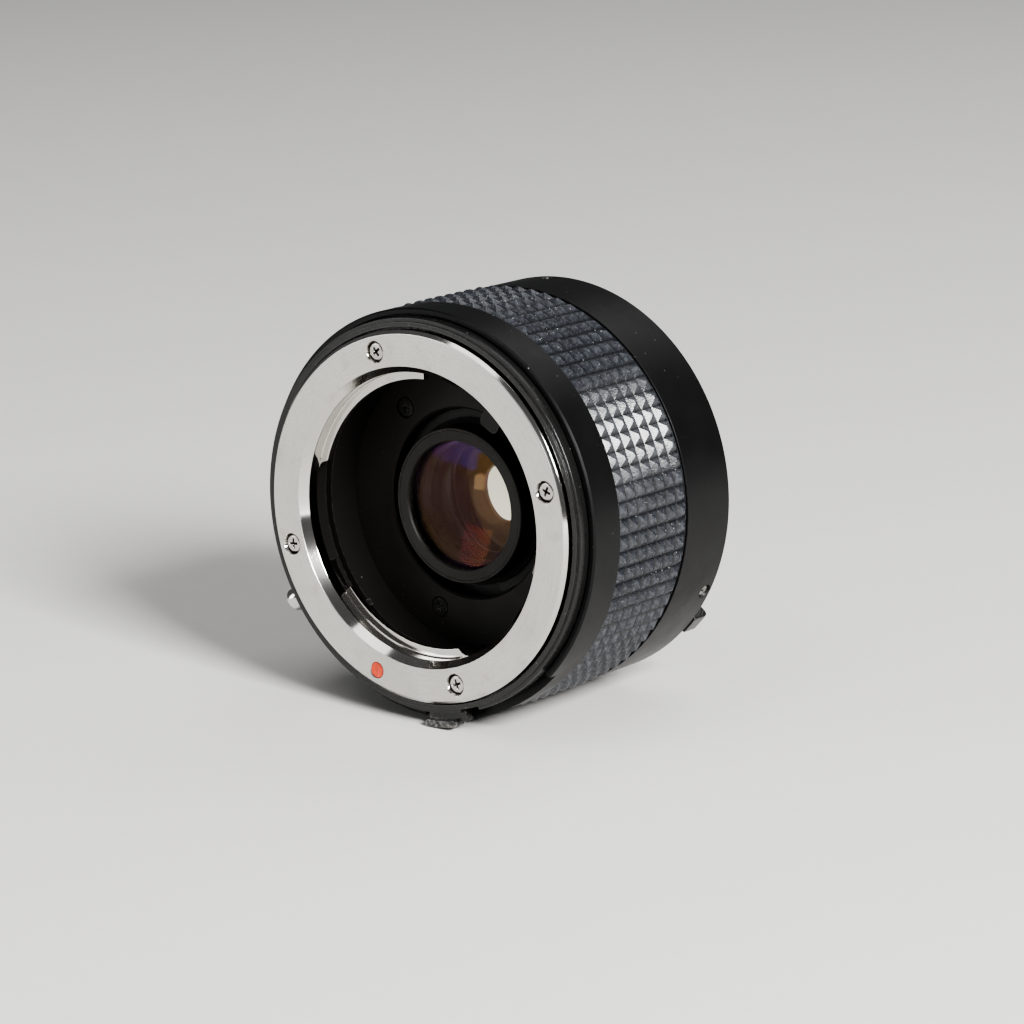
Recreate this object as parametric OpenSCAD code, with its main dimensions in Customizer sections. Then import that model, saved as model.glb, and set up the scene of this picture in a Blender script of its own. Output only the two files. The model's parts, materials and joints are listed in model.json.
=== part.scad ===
// A two-times camera teleconverter: a short tube of lenses that sits between a camera and its lens.
// The optical axis lies along Y, the lens side looks towards -Y, and the origin is the centre of the
// rear flange face. Inside the modules a depth is measured from the front flange face towards the rear.

/* [Throat] */
// Clear diameter between the front bayonet lugs
throat_d = 45; // [43:0.1:47]
// Radial height of a front bayonet lug
lug_h = 1.5; // [1.2:0.1:2]
// Thickness of a front bayonet lug along the axis
lug_t = 1.2; // [0.8:0.1:1.6]
// Depth of the lugs' front faces behind the flange face
register_depth = 3.6; // [3:0.1:4.4]
// Radial width of the polished bevel at the entrance
bevel_w = 1.15; // [0.8:0.05:1.5]
// Depth of the polished bevel at the entrance
bevel_depth = 1.5; // [1:0.1:2]

/* [Flanges] */
// Radial width of the front flange face
face_w = 5.9; // [5.4:0.1:7]
// Thickness of both flange plates
flange_t = 2.4; // [2:0.1:3]
// Distance of the front screws outside the bevel
screw_inset = 2.8; // [2.5:0.1:3.2]
// Radius of a flange screw's head
screw_head_r = 1.45; // [1.3:0.05:1.6]
// Radius of a flange screw's shank
screw_shank_r = 0.95; // [0.7:0.05:1]
// Radius of the red index dots
dot_r = 1.3; // [0.9:0.1:1.6]

/* [Meter coupling] */
// Width of the coupling ring that shows around the front flange
ring_w = 1.55; // [1.2:0.05:2.2]
// Thickness of the coupling ring's web behind the flange plate
ring_web_t = 1.5; // [1.2:0.1:2]
// Depth of the coupling ring's front face
ring_back = 1.2; // [0.8:0.1:1.6]
// Reach of the front tab past the barrel
tab_reach = 0.95; // [0.6:0.05:1.4]
// Reach of the rear lug behind the rear end of the barrel
rear_lug_reach = 4.2; // [2:0.1:5]
// Turn of the coupling ring from rest to its stop, in degrees
meter_travel = 30; // [20:1:32]

/* [Barrel] */
// Width of the barrel's rim around the coupling ring
rim_w = 1.05; // [0.8:0.05:1.6]
// Depth of the barrel's front edge behind the flange face
edge_back = 3.4; // [2.8:0.1:3.6]
// Length of the smooth band in front of the grip
front_band_l = 6.8; // [6:0.1:9]
// Length of the rubber grip
grip_l = 18.5; // [16:0.5:22]
// Length of the smooth band behind the grip
rear_band_l = 11.95; // [11:0.05:15]
// Distance from the barrel's rear end to the rear flange face
rear_proud = 1.35; // [1:0.05:2]
// Thickness of the rubber under the pyramids
grip_base_t = 0.75; // [0.5:0.05:0.9]
// Height of the rubber pyramids
pyramid_h = 0.9; // [0.5:0.05:1.2]
// Pyramids along the grip
grip_rows = 7; // [5:1:9]
// Pyramids around the grip
grip_columns = 78; // [60:2:90]

/* [Optics] */
// Depth of the lens cell's front face
cell_front = 11.4; // [11:0.1:11.8]
// Clear radius of the front glass as a share of the throat's radius
glass_share = 0.48; // [0.45:0.005:0.49]
// Radial width of the lens cell's rim around the front glass
cell_rim_w = 2.35; // [2.2:0.05:2.6]
// Radial gap between the lens cell and the front baffle
baffle_gap = 2.85; // [2.4:0.05:3.2]
// Depth of the front baffle
baffle_back = 13.7; // [13:0.1:14.4]

/* [Levers] */
// Turn of the aperture linkage from rest to its stop, in degrees
aperture_travel = 20; // [10:1:22]
// Thickness of the aperture levers
lever_t = 0.8; // [0.6:0.1:1]
// Reach of the rear aperture lever behind the rear flange face
rear_lever_reach = 3.5; // [2.5:0.1:5]
// Radius of the release button
button_r = 2; // [1.6:0.1:2]
// Height of the release button above the barrel
button_h = 3.5; // [2.5:0.1:4.5]
// Press of the release button
button_travel = 1.2; // [0.8:0.1:1.2]

/* [Hidden] */
$fn = 96;

// Clearances: fixed pieces that slip together, a turning journal, moving pieces that pass each other
slip = 0.05;
journal = 0.1;
pass = 0.3;

// Radii of the front mount, from the lugs outwards
throat_r = throat_d / 2;
wall_r = throat_r + lug_h;
face_r = wall_r + bevel_w;
flange_r = face_r + face_w;
spigot_r = wall_r + 2;
screw_r = face_r + screw_inset;
collar_r = flange_r - 1.45;
ring_bore_r = collar_r + journal;
ring_rim_r = flange_r + pass;
ring_r = ring_rim_r + ring_w;
rim_bore_r = ring_r + pass;
barrel_r = rim_bore_r + rim_w;
edge_chamfer = 0.35;
flange_chamfer = 0.6;

// Depths of the front end
lug_y = register_depth + lug_t;
ring_web_y = flange_t + pass;
ring_end_y = ring_web_y + ring_web_t;
seat_y = ring_end_y + pass;
web_end_y = seat_y + 3.2;
root_end_y = web_end_y + 2.5;

// Depths along the barrel
grip_y = edge_back + front_band_l;
grip_end_y = grip_y + grip_l;
rear_y = grip_end_y + rear_band_l;
total_y = rear_y + rear_proud;
rear_seat_y = total_y - flange_t;

// Radii of the barrel shell and the main tube
seat_r = barrel_r - 1.25;
shell_bore_r = seat_r - 1.1;
button_gap = 0.05;
web_r = barrel_r + button_gap - button_travel - 0.7;
cavity_r = wall_r + 1.4;
chamber_r = wall_r + 0.2;
ledge_r = chamber_r - 1;
tube_r = chamber_r + 3.8;
cavity_end_y = lug_y + 2.6;

// The link bars run between the main tube and the barrel shell
bar_in_r = collar_r + 0.7;
bar_out_r = bar_in_r + 1;
bar_angle = -38.75;
bar_half = 4;
tab_from = -88;
tab_to = -74.5;
foot_to = -78;
tab_front = 2.1;
tab_back = 3.8;
rear_lug_from = -43.9;
rear_lug_to = -37.8;
rear_ring_in_r = bar_in_r - 0.1;
rear_ring_out_r = bar_out_r + 0.1;
rear_ring_y = rear_seat_y - 0.6;
rear_ring_end_y = rear_y + 0.75;

// Angles of the front lugs, seen from the front and counted anticlockwise from +X
lug_from = [92.3, 221.3, 343];
lug_to = [165.1, 286.6, 396];
lug_fillet = lug_h;
front_screw_angle = 17.3;
front_dot_angle = -107.1;
dot_pcr = screw_r + 0.35;
screw_sink = 0.4;
screw_head_t = 0.85;
dot_sink = 0.15;
dot_t = 0.45;
leaf_t = 0.25;
leaf_w = 2;

// Rear bayonet
rear_plate_r = bar_in_r - 0.4;
rear_register_r = wall_r - 0.07;
rear_register_l = register_depth - 0.2;
rear_neck_r = throat_r - 0.3;
rear_lug_r = wall_r - 0.3;
rear_lug_y = total_y + lug_y + 0.15;
rear_lug_t = 1.3;
rear_bore_r = rear_neck_r - 1.4;
lock_turn = 54;
rear_lug_span = 52;
rear_screw_r = rear_register_r + 2.95;

// Front baffle, aperture ring and the web of the main tube that carries the lens cell
baffle_t = 1.2;
baffle_end_y = baffle_back + baffle_t;
clear_r = glass_share * throat_r;
cell_r = clear_r + cell_rim_w;
baffle_hole_r = cell_r + baffle_gap;
boss_bore_r = cell_r + journal;
boss_r = boss_bore_r + 0.9;
aperture_bore_r = boss_r + journal;
aperture_r = aperture_bore_r + 3;
post_r = 1.9;
baffle_head_r = 1.5;
baffle_shank_r = 0.8;
post_pcr = aperture_r + 0.45 + post_r;
baffle_screw_angle = 12.3;
lens_web_y = baffle_end_y + 4.1;
lens_web_end_y = lens_web_y + 2.5;
aperture_end_y = lens_web_y - pass;
aperture_y = aperture_end_y - 1.5;
boss_y = lens_web_y - 3.6;
clip_y = boss_y + 0.6;
clip_t = 0.7;
clip_groove_r = boss_r - 0.4;
clip_r = boss_r + 1.4;

// Aperture levers
lever_root_r = clip_r + pass;
front_lever_angle = 62;
front_lever_r = aperture_r + 3.1;
front_lever_tip_r = baffle_hole_r + 0.3;
tongue_round = 0.8;
front_lever_y = baffle_back - 4.4;
lever_half = 5.6;
rear_lever_angle = 215;
rear_lever_r = rear_bore_r - 1;
rear_lever_end_y = total_y + rear_lever_reach;
slot_side = 3;
spring_ear_angle = 180;
spring_ear_r = aperture_r + 2.7;
spring_x = aperture_r + 1.7;
spring_y = aperture_y + 0.2;
spring_low_z = 1;
spring_high_z = aperture_r / 2;
spring_post_r = 0.8;
spring_wire_r = 0.2;

// Rear baffle
rear_baffle_r = cavity_r - 0.2;
rear_baffle_y = rear_seat_y - 3.1;
rear_baffle_t = 0.8;
window_w = 2.1 * clear_r;
window_h = 1.5 * clear_r;

// Lens cell and its glasses, whose bends are radii that follow the clear glass
cell_lip = 0.05;
cell_bore_r = cell_r - 1;
cell_ring_r = cell_r - 0.55;
cell_ring_t = 0.6;
glass_r = cell_bore_r - 0.1;
glass_1_bends = [5, -8.5] * clear_r;
glass_2_bends = [-3, -2.8] * clear_r;
glass_3_bends = [5, 5] * clear_r;
glass_4_bends = [-4.7, 3.8] * clear_r;
glass_1_y = cell_front + cell_lip + cell_ring_t;
glass_1_t = 2;
spacer_1_t = 1.2;
glass_2_t = 5;
glass_2_y = glass_1_y + glass_1_t + spacer_1_t;
shoulder_y = glass_2_y + glass_2_t;
shoulder_t = 1;
shoulder_r = clear_r - 0.2;
rear_clear_r = 0.58 * clear_r;
rear_glass_r = cell_bore_r + 0.5;
glass_3_y = shoulder_y + shoulder_t;
glass_3_t = 2.4;
glass_4_t = 3;
rear_ring_t = 1.4;
cell_end_y = rear_baffle_y - 1.5;
glass_end_y = cell_end_y - rear_ring_t - 0.6;
glass_4_y = glass_end_y - glass_4_t;
cell_rear_r = rear_glass_r + 1.5;
cell_flange_r = rear_lever_r - 2;
cell_flange_t = 1.5;
cell_screw_r = (cell_flange_r + cell_rear_r) / 2;
cell_screw_angle = 75;
cell_head_r = 1.2;
cell_shank_r = 0.7;

// Release button, its stem and the lock lever
button_angle = -147.5;
button_y = (seat_y + web_end_y) / 2;
stem_r = 0.85;
stem_foot_r = 1.25;
stem_foot_t = 0.65;
pivot_angle = -140;
pivot_r = collar_r - 2.6;
stem_end_r = pivot_r + 1.6;
pocket_r = collar_r - 0.6;
pocket_y = lug_y + 0.1;
pocket_end_y = pocket_y + 4.1;
lock_y = pocket_y + 0.2;
lock_t = 1.2;
pivot_pin_r = 0.6;
lock_spring_r = 1;
lock_wire_r = 0.1;

// Screws and index dot of the rear end
rear_screw_angle = 33;
rear_dot_angle = 200;
rear_dot_y = grip_end_y + 5;
set_screw_angle = 93.6;
set_screw_y = rear_y - 2.05;
set_sink = 0.3;
set_head_r = 1;
set_head_t = 0.5;
set_shank_r = 0.7;

black = [0.07, 0.07, 0.075];
matt_black = [0.045, 0.045, 0.045];
chrome = [0.78, 0.78, 0.8];
steel = [0.6, 0.6, 0.62];
rubber = [0.17, 0.19, 0.23];
red = [0.85, 0.2, 0.1];
glass = [0.75, 0.85, 0.8, 0.4];

// Lays the tube on its side: local Z, which points out of the front, turns to -Y
module lay() {
    translate([0, -total_y, 0])
        rotate([90, 0, 0])
            children();
}

// Places its children at an angle, a radius and a depth, with X radial and Z towards the front
module at(angle, r, y) {
    rotate([0, 0, angle])
        translate([r, 0, -y])
            children();
}

// Revolves an outline of [radius, depth] points about the optical axis
module turned(outline) {
    rotate_extrude()
        polygon([for (p = outline) [p[0], -p[1]]]);
}

module disc(r, y, y_end) {
    translate([0, 0, -y_end])
        cylinder(r = r, h = y_end - y);
}

module tube(r_out, r_in, y, y_end) {
    turned([[r_in, y], [r_out, y], [r_out, y_end], [r_in, y_end]]);
}

// A wedge about the axis that covers the angles from a to b
module wedge(r, y, y_end, a, b) {
    steps = ceil((b - a) / 20);
    reach = r / cos((b - a) / steps / 2) + 1;
    translate([0, 0, -y_end])
        linear_extrude(y_end - y)
            polygon(concat(
                [[0, 0]],
                [for (i = [0 : steps]) let (t = a + (b - a) * i / steps) reach * [cos(t), sin(t)]]
            ));
}

module arc_block(r_in, r_out, y, y_end, a, b) {
    intersection() {
        tube(r_out, r_in, y, y_end);
        wedge(r_out, y - 1, y_end + 1, a, b);
    }
}

// A hole or a rod that runs radially
module radial_rod(r, angle, y, r_in, r_out) {
    at(angle, r_in, y)
        rotate([0, 90, 0])
            cylinder(r = r, h = r_out - r_in);
}

// A hole or a rod along the axis
module axial_rod(r, angle, pcr, y, y_end) {
    at(angle, pcr, y_end)
        cylinder(r = r, h = y_end - y);
}

// A cross-head screw along local -Z, with the top of its head at the origin
module cross_screw(head_r, head_t, shank_r, length) {
    difference() {
        union() {
            translate([0, 0, -head_t])
                cylinder(r = head_r, h = head_t);
            translate([0, 0, -length])
                cylinder(r = shank_r, h = length - head_t / 2);
        }
        for (turn = [45, 135])
            rotate([0, 0, turn])
                translate([-head_r * 0.62, -head_r * 0.13, -head_t * 0.6])
                    cube([head_r * 1.24, head_r * 0.26, head_t]);
    }
}

// Sweeps a round wire of six sides along a path that never runs along Z
function unit(v) = v / norm(v);
function path_way(path, i) = unit(path[min(i + 1, len(path) - 1)] - path[max(i - 1, 0)]);
function wire_ring(p, way, r) =
    let (side = unit(cross(way, [0, 0, 1])), lift = cross(side, way))
    [for (k = [0 : 5]) p + r * (cos(60 * k) * side + sin(60 * k) * lift)];
module wire(path, r) {
    n = len(path);
    points = [for (i = [0 : n - 1]) each wire_ring(path[i], path_way(path, i), r)];
    sides = [
        for (i = [0 : n - 2]) for (k = [0 : 5])
        let (a = 6 * i + k, b = 6 * i + (k + 1) % 6)
        each [[a, a + 6, b], [b, a + 6, b + 6]]
    ];
    caps = [
        for (k = [1 : 4])
        each [[0, k, k + 1], [6 * n - 6, 6 * n - 5 + k, 6 * n - 6 + k]]
    ];
    polyhedron(points, concat(sides, caps));
}
function helix(r, pitch, turns, steps = 8) =
    [for (i = [0 : turns * steps]) let (t = 360 * i / steps) [r * cos(t), r * sin(t), pitch * i / steps]];

module front_mount_ring() {
    color(chrome) lay() difference() {
        union() {
            turned([
                [wall_r, bevel_depth], [face_r, 0], [flange_r - flange_chamfer, 0],
                [flange_r, flange_chamfer], [flange_r, flange_t], [spigot_r, flange_t],
                [spigot_r, register_depth], [wall_r, register_depth]
            ]);
            for (i = [0 : 2])
                front_lug(lug_from[i], lug_to[i]);
        }
        for (k = [0 : 3])
            at(front_screw_angle + 90 * k, screw_r, 0)
                screw_seat();
        axial_rod(dot_r + slip, front_dot_angle, dot_pcr, -1, dot_sink + dot_t);
    }
}

// One lug behind the throat wall, with a round fillet where the gap at its far end begins
module front_lug(a, b) {
    fillet_turn = lug_fillet / throat_r * 180 / PI;
    difference() {
        arc_block(throat_r, spigot_r, register_depth, lug_y, a, b + fillet_turn);
        axial_rod(lug_fillet, b + fillet_turn, throat_r, register_depth - 1, lug_y + 1);
    }
}

// The counterbore and hole of a flange screw, cut down from a face at the origin
module screw_seat() {
    head_depth = screw_sink + screw_head_t;
    translate([0, 0, -head_depth])
        cylinder(r = screw_head_r + pass, h = head_depth + 1);
    translate([0, 0, -flange_t - 1])
        cylinder(r = screw_shank_r + slip, h = flange_t + 1);
}

module flange_screw() {
    translate([0, 0, -screw_sink])
        cross_screw(screw_head_r, screw_head_t, screw_shank_r, flange_t + 2.6);
}

// The threaded hole that takes a flange screw, cut down from the flange face at the origin
module screw_thread_hole() {
    translate([0, 0, -flange_t - 3.4])
        cylinder(r = screw_shank_r + slip, h = 4);
}

module front_mount_screws() {
    color(steel) lay()
        for (k = [0 : 3])
            at(front_screw_angle + 90 * k, screw_r, 0)
                flange_screw();
}

module front_index_dot() {
    color(red) lay()
        axial_rod(dot_r, front_dot_angle, dot_pcr, dot_sink, dot_sink + dot_t);
}

// Three leaf springs behind the lugs, each a thin strip whose middle bows away from its lug
module bayonet_springs() {
    color(steel) lay()
        for (i = [0 : 2])
            leaf_spring(lug_from[i] + 14, lug_to[i] - 8);
}

module leaf_spring(a, b) {
    stations = 12;
    bow = 3 * leaf_t;
    r_in = wall_r - leaf_w / 2;
    r_out = wall_r + leaf_w / 2;
    points = [
        for (i = [0 : stations])
        let (t = a + (b - a) * i / stations, y = lug_y + bow * pow(sin(180 * i / stations), 2))
        each [
            [r_in * cos(t), r_in * sin(t), -y], [r_out * cos(t), r_out * sin(t), -y],
            [r_out * cos(t), r_out * sin(t), -y - leaf_t], [r_in * cos(t), r_in * sin(t), -y - leaf_t]
        ]
    ];
    sides = [
        for (i = [0 : stations - 1]) for (k = [0 : 3])
        let (p = 4 * i + k, q = 4 * i + (k + 1) % 4)
        each [[p, q, q + 4], [p, q + 4, p + 4]]
    ];
    last = 4 * stations;
    caps = [[0, 2, 1], [0, 3, 2], [last, last + 1, last + 2], [last, last + 2, last + 3]];
    polyhedron(points, concat(sides, caps));
}

// The turning ring around the front flange, with the tab that the lens pushes
module meter_ring() {
    step_r = ring_rim_r + ring_w * 0.6;
    color(black) lay() {
        difference() {
            turned([
                [ring_bore_r, ring_web_y], [ring_rim_r, ring_web_y], [ring_rim_r, ring_back],
                [step_r, ring_back], [step_r, ring_back + 0.4], [ring_r, ring_back + 0.4],
                [ring_r, ring_end_y], [ring_bore_r, ring_end_y]
            ]);
            arc_block(step_r, ring_r + 1, ring_back - 1, ring_end_y + 1, tab_to - 1, tab_to + 6);
        }
        arc_block(step_r, barrel_r + 0.2, tab_front, tab_back, tab_from, tab_to);
        arc_block(barrel_r - 0.3, barrel_r + tab_reach, ring_back - 0.3, tab_back, tab_from, foot_to);
    }
}

module meter_link_bars() {
    color(black) lay()
        for (side = [0, 180])
            arc_block(bar_in_r, bar_out_r, ring_end_y, rear_ring_y,
                bar_angle + side - bar_half, bar_angle + side + bar_half);
}

module rear_meter_ring() {
    lug_end_y = rear_y + rear_lug_reach;
    lug_r = barrel_r + 0.15;
    round_r = 1;
    color(black) lay() {
        tube(rear_ring_out_r, rear_ring_in_r, rear_ring_y, rear_ring_end_y);
        intersection() {
            turned(concat(
                [[rear_ring_in_r, rear_y + pass], [lug_r, rear_y + pass]],
                [for (t = [0 : 15 : 90])
                    [lug_r - round_r + round_r * cos(t), lug_end_y - round_r + round_r * sin(t)]],
                [[rear_ring_in_r, lug_end_y]]
            ));
            wedge(lug_r, rear_y, lug_end_y + 1, rear_lug_from, rear_lug_to);
        }
    }
}

// The outer tube: its front is the smooth front band, and the grip and the rear barrel slide on it
module barrel_shell() {
    color(black) lay() difference() {
        turned([
            [rim_bore_r, edge_back], [barrel_r - edge_chamfer, edge_back],
            [barrel_r, edge_back + edge_chamfer], [barrel_r, grip_y], [seat_r, grip_y],
            [seat_r, rear_seat_y], [shell_bore_r, rear_seat_y], [shell_bore_r, web_end_y],
            [web_r + slip, web_end_y], [web_r + slip, seat_y], [rim_bore_r, seat_y]
        ]);
        wedge(barrel_r, edge_back - 1, tab_back + 1.6, tab_from - 3, tab_to + meter_travel + 1.5);
        radial_rod(button_r + 0.3, button_angle, button_y, web_r - 1, barrel_r + 1);
        for (k = [0 : 2])
            radial_rod(set_shank_r + slip, set_screw_angle + 120 * k, set_screw_y,
                shell_bore_r - 1, barrel_r);
    }
}

// Rubber sleeve: a narrow lip at each end, and four-sided pyramids in a grid between the lips
module grip_sleeve() {
    lip_l = 0.15;
    base_r = seat_r + grip_base_t;
    tip_r = base_r + pyramid_h;
    lip_r = base_r + 0.1;
    pitch = (grip_l - 2 * lip_l) / grip_rows;
    turn = 360 / grip_columns;
    n = grip_columns;
    field_y = grip_y + lip_l;
    // Rings of the outline: front lip, foot of every row, rear lip
    rings = concat(
        [[lip_r, grip_y], [lip_r, field_y]],
        [for (i = [0 : grip_rows]) [base_r, field_y + pitch * i]],
        [[lip_r, grip_end_y - lip_l], [lip_r, grip_end_y]]
    );
    last = len(rings) - 1;
    corners = [
        for (ring = rings) for (j = [0 : n - 1])
        [ring[0] * cos(turn * j), ring[0] * sin(turn * j), -ring[1]]
    ];
    tips = [
        for (i = [0 : grip_rows - 1]) for (j = [0 : n - 1])
        let (t = turn * (j + 0.5))
        [tip_r * cos(t), tip_r * sin(t), -field_y - pitch * (i + 0.5)]
    ];
    first_tip = len(corners);
    flats = [
        for (i = [0, 1, last - 2, last - 1]) for (j = [0 : n - 1])
        let (a = n * i + j, b = n * i + (j + 1) % n)
        [a, b, b + n, a + n]
    ];
    pyramids = [
        for (i = [0 : grip_rows - 1]) for (j = [0 : n - 1])
        let (a = n * (i + 2) + j, b = n * (i + 2) + (j + 1) % n, tip = first_tip + n * i + j)
        each [[a, b, tip], [b, b + n, tip], [b + n, a + n, tip], [a + n, a, tip]]
    ];
    ends = [[for (j = [0 : n - 1]) n - 1 - j], [for (j = [0 : n - 1]) n * last + j]];
    color(rubber) lay() difference() {
        polyhedron(concat(corners, tips), concat(flats, pyramids, ends));
        disc(seat_r + slip, grip_y - 1, grip_end_y + 1, $fn = 360);
    }
}

module rear_barrel() {
    color(black) lay() difference() {
        turned([
            [seat_r + slip, grip_end_y], [barrel_r, grip_end_y], [barrel_r, rear_y - edge_chamfer],
            [barrel_r - edge_chamfer, rear_y], [rear_ring_out_r + pass, rear_y],
            [rear_ring_out_r + pass, rear_seat_y], [seat_r + slip, rear_seat_y]
        ]);
        for (k = [0 : 2]) {
            radial_rod(set_head_r + pass, set_screw_angle + 120 * k, set_screw_y,
                barrel_r - set_sink - set_head_t, barrel_r + 1);
            radial_rod(set_shank_r + slip, set_screw_angle + 120 * k, set_screw_y, seat_r - 1, barrel_r);
        }
        radial_rod(dot_r + slip, rear_dot_angle, rear_dot_y, barrel_r - 0.8, barrel_r + 1);
    }
}

module barrel_set_screws() {
    color(steel) lay()
        for (k = [0 : 2])
            at(set_screw_angle + 120 * k, barrel_r - set_sink, set_screw_y)
                rotate([0, 90, 0])
                    cross_screw(set_head_r, set_head_t, set_shank_r, barrel_r - set_sink - shell_bore_r);
}

module rear_index_dot() {
    color(red) lay()
        radial_rod(dot_r, rear_dot_angle, rear_dot_y, barrel_r - 0.8, barrel_r - 0.1);
}

// The inner tube: it carries both mounts, the lens cell and the linkages
module main_tube() {
    color(matt_black) lay() difference() {
        union() {
            turned([
                [spigot_r + slip, flange_t], [collar_r, flange_t], [collar_r, seat_y], [web_r, seat_y],
                [web_r, web_end_y], [collar_r, web_end_y], [collar_r, root_end_y],
                [tube_r, root_end_y + 1.6], [tube_r, rear_seat_y - 3.2], [tube_r + 1.4, rear_seat_y - 2.4],
                [tube_r + 1.4, rear_seat_y], [cavity_r - 0.15, rear_seat_y],
                [cavity_r - 0.15, rear_baffle_y], [ledge_r, rear_baffle_y], [ledge_r, lens_web_end_y],
                [boss_bore_r, lens_web_end_y], [boss_bore_r, boss_y], [boss_r, boss_y], [boss_r, clip_y],
                [clip_groove_r, clip_y], [clip_groove_r, clip_y + clip_t + 0.1],
                [boss_r, clip_y + clip_t + 0.1], [boss_r, lens_web_y], [ledge_r, lens_web_y],
                [ledge_r, baffle_end_y], [chamber_r, baffle_end_y], [chamber_r, cavity_end_y],
                [cavity_r, cavity_end_y], [cavity_r, pocket_y], [spigot_r + slip, pocket_y]
            ]);
            for (k = [0 : 2])
                axial_rod(post_r, baffle_screw_angle + 120 * k, post_pcr, baffle_end_y, lens_web_y + 0.5);
            spring_post();
        }
        for (k = [0 : 3]) {
            at(front_screw_angle + 90 * k, screw_r, 0)
                screw_thread_hole();
            at(rear_screw_angle + 90 * k, rear_screw_r, total_y)
                mirror([0, 0, 1])
                    screw_thread_hole();
        }
        for (k = [0 : 2]) {
            axial_rod(baffle_shank_r + slip, baffle_screw_angle + 120 * k, post_pcr,
                baffle_end_y - 1, baffle_end_y + 3);
            axial_rod(cell_shank_r + slip, cell_screw_angle + 120 * k, cell_screw_r,
                lens_web_y + 0.5, lens_web_end_y + 1);
        }
        for (side = [0, 180])
            arc_block(bar_in_r - pass, bar_out_r + pass, seat_y - 1, web_end_y + 1,
                bar_angle + side - bar_half - slot_side,
                bar_angle + side + bar_half + slot_side + meter_travel);
        arc_block(rear_lever_r - 1.8, rear_lever_r + 0.8, lens_web_y - 1, lens_web_end_y + 1,
            rear_lever_angle - lever_half - slot_side,
            rear_lever_angle + lever_half + slot_side + aperture_travel);
        lock_pocket();
    }
}

// The pocket behind the front collar for the lock lever, its pin and the button's stem
module lock_pocket() {
    arc_block(chamber_r - 2, pocket_r, pocket_y, lock_y + lock_t + 0.2, pivot_angle - 13, pivot_angle + 16);
    axial_rod(lock_spring_r + 0.4, pivot_angle, pivot_r, pocket_y, pocket_end_y);
    axial_rod(pivot_pin_r + slip, pivot_angle, pivot_r, pocket_y - 0.8, pocket_end_y + 0.6);
    radial_rod(stem_foot_r + 0.15, button_angle, button_y,
        stem_end_r - button_travel - pass, stem_end_r + stem_foot_t + pass);
    radial_rod(stem_r + journal, button_angle, button_y, pocket_r - 1, web_r + 1);
}

// The fixed post that holds the upper end of the aperture spring
module spring_post() {
    post_z = spring_high_z + spring_post_r;
    axial_rod(spring_post_r, 180 - atan(post_z / spring_x), norm([spring_x, post_z]),
        spring_y - 1.6, lens_web_y + 0.5);
}

// The black plate that closes the throat around the lens cell
module front_baffle() {
    color(matt_black) lay() difference() {
        turned([
            [baffle_hole_r, baffle_back + 0.3], [baffle_hole_r + 0.3, baffle_back],
            [chamber_r - 0.1, baffle_back], [chamber_r - 0.1, baffle_end_y],
            [baffle_hole_r + 0.8, baffle_end_y], [baffle_hole_r + 0.6, baffle_end_y + 0.4],
            [baffle_hole_r, baffle_end_y + 0.4]
        ]);
        for (k = [0 : 2]) {
            axial_rod(baffle_head_r + pass, baffle_screw_angle + 120 * k, post_pcr,
                baffle_back - 1, baffle_back + 0.7);
            axial_rod(baffle_shank_r + journal, baffle_screw_angle + 120 * k, post_pcr,
                baffle_back - 1, baffle_end_y + 1);
        }
        arc_block(front_lever_r - 1.4, front_lever_r + 0.5, baffle_back - 1, baffle_end_y + 1,
            front_lever_angle - lever_half - slot_side,
            front_lever_angle + lever_half + slot_side + aperture_travel);
    }
}

module front_baffle_screws() {
    color(matt_black) lay()
        for (k = [0 : 2])
            at(baffle_screw_angle + 120 * k, post_pcr, baffle_back + 0.1)
                cross_screw(baffle_head_r, 0.6, baffle_shank_r, 3.4);
}

// The ring that turns about the lens cell and carries both aperture levers
module aperture_ring() {
    color(black) lay() {
        tube(aperture_r, aperture_bore_r, aperture_y, aperture_end_y);
        at(spring_ear_angle, aperture_r - 0.5, aperture_end_y)
            translate([0, -1, 0])
                cube([spring_ear_r - aperture_r + 0.5, 2, aperture_end_y - aperture_y]);
    }
}

// An open clip in a groove of the boss that keeps the aperture ring in place
module aperture_ring_clip() {
    color(black) lay() difference() {
        tube(clip_r, clip_groove_r + slip, clip_y + 0.05, clip_y + 0.05 + clip_t - 0.05);
        wedge(clip_r, clip_y - 1, clip_y + 2, 250, 290);
    }
}

// Bent strip: a foot on the ring, an arm to the front and a tongue that reaches in towards the lens
module front_aperture_lever() {
    a = front_lever_angle - lever_half;
    b = front_lever_angle + lever_half;
    side = front_lever_r * sin(lever_half) - 0.1 - tongue_round;
    corner_r = front_lever_tip_r + tongue_round;
    color(black) lay() {
        arc_block(lever_root_r, front_lever_r, aperture_y - lever_t, aperture_y, a, b);
        arc_block(front_lever_r - lever_t, front_lever_r, front_lever_y, aperture_y, a, b);
        intersection() {
            disc(front_lever_r, front_lever_y, front_lever_y + lever_t);
            at(front_lever_angle, 0, front_lever_y + lever_t)
                linear_extrude(lever_t)
                    polygon(concat(
                        [for (t = [90 : 15 : 180]) [corner_r, side] + tongue_round * [cos(t), sin(t)]],
                        [for (t = [180 : 15 : 270]) [corner_r, -side] + tongue_round * [cos(t), sin(t)]],
                        [[front_lever_r + 1, -side - tongue_round], [front_lever_r + 1, side + tongue_round]]
                    ));
        }
    }
}

// Bent strip: a foot on the ring and an arm to the rear that the camera pushes
module rear_aperture_lever() {
    a = rear_lever_angle - lever_half;
    b = rear_lever_angle + lever_half;
    color(steel) lay() {
        arc_block(lever_root_r, rear_lever_r, aperture_y - lever_t, aperture_y, a, b);
        arc_block(rear_lever_r - lever_t, rear_lever_r, aperture_y - lever_t, rear_lever_end_y, a, b);
    }
}

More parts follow.
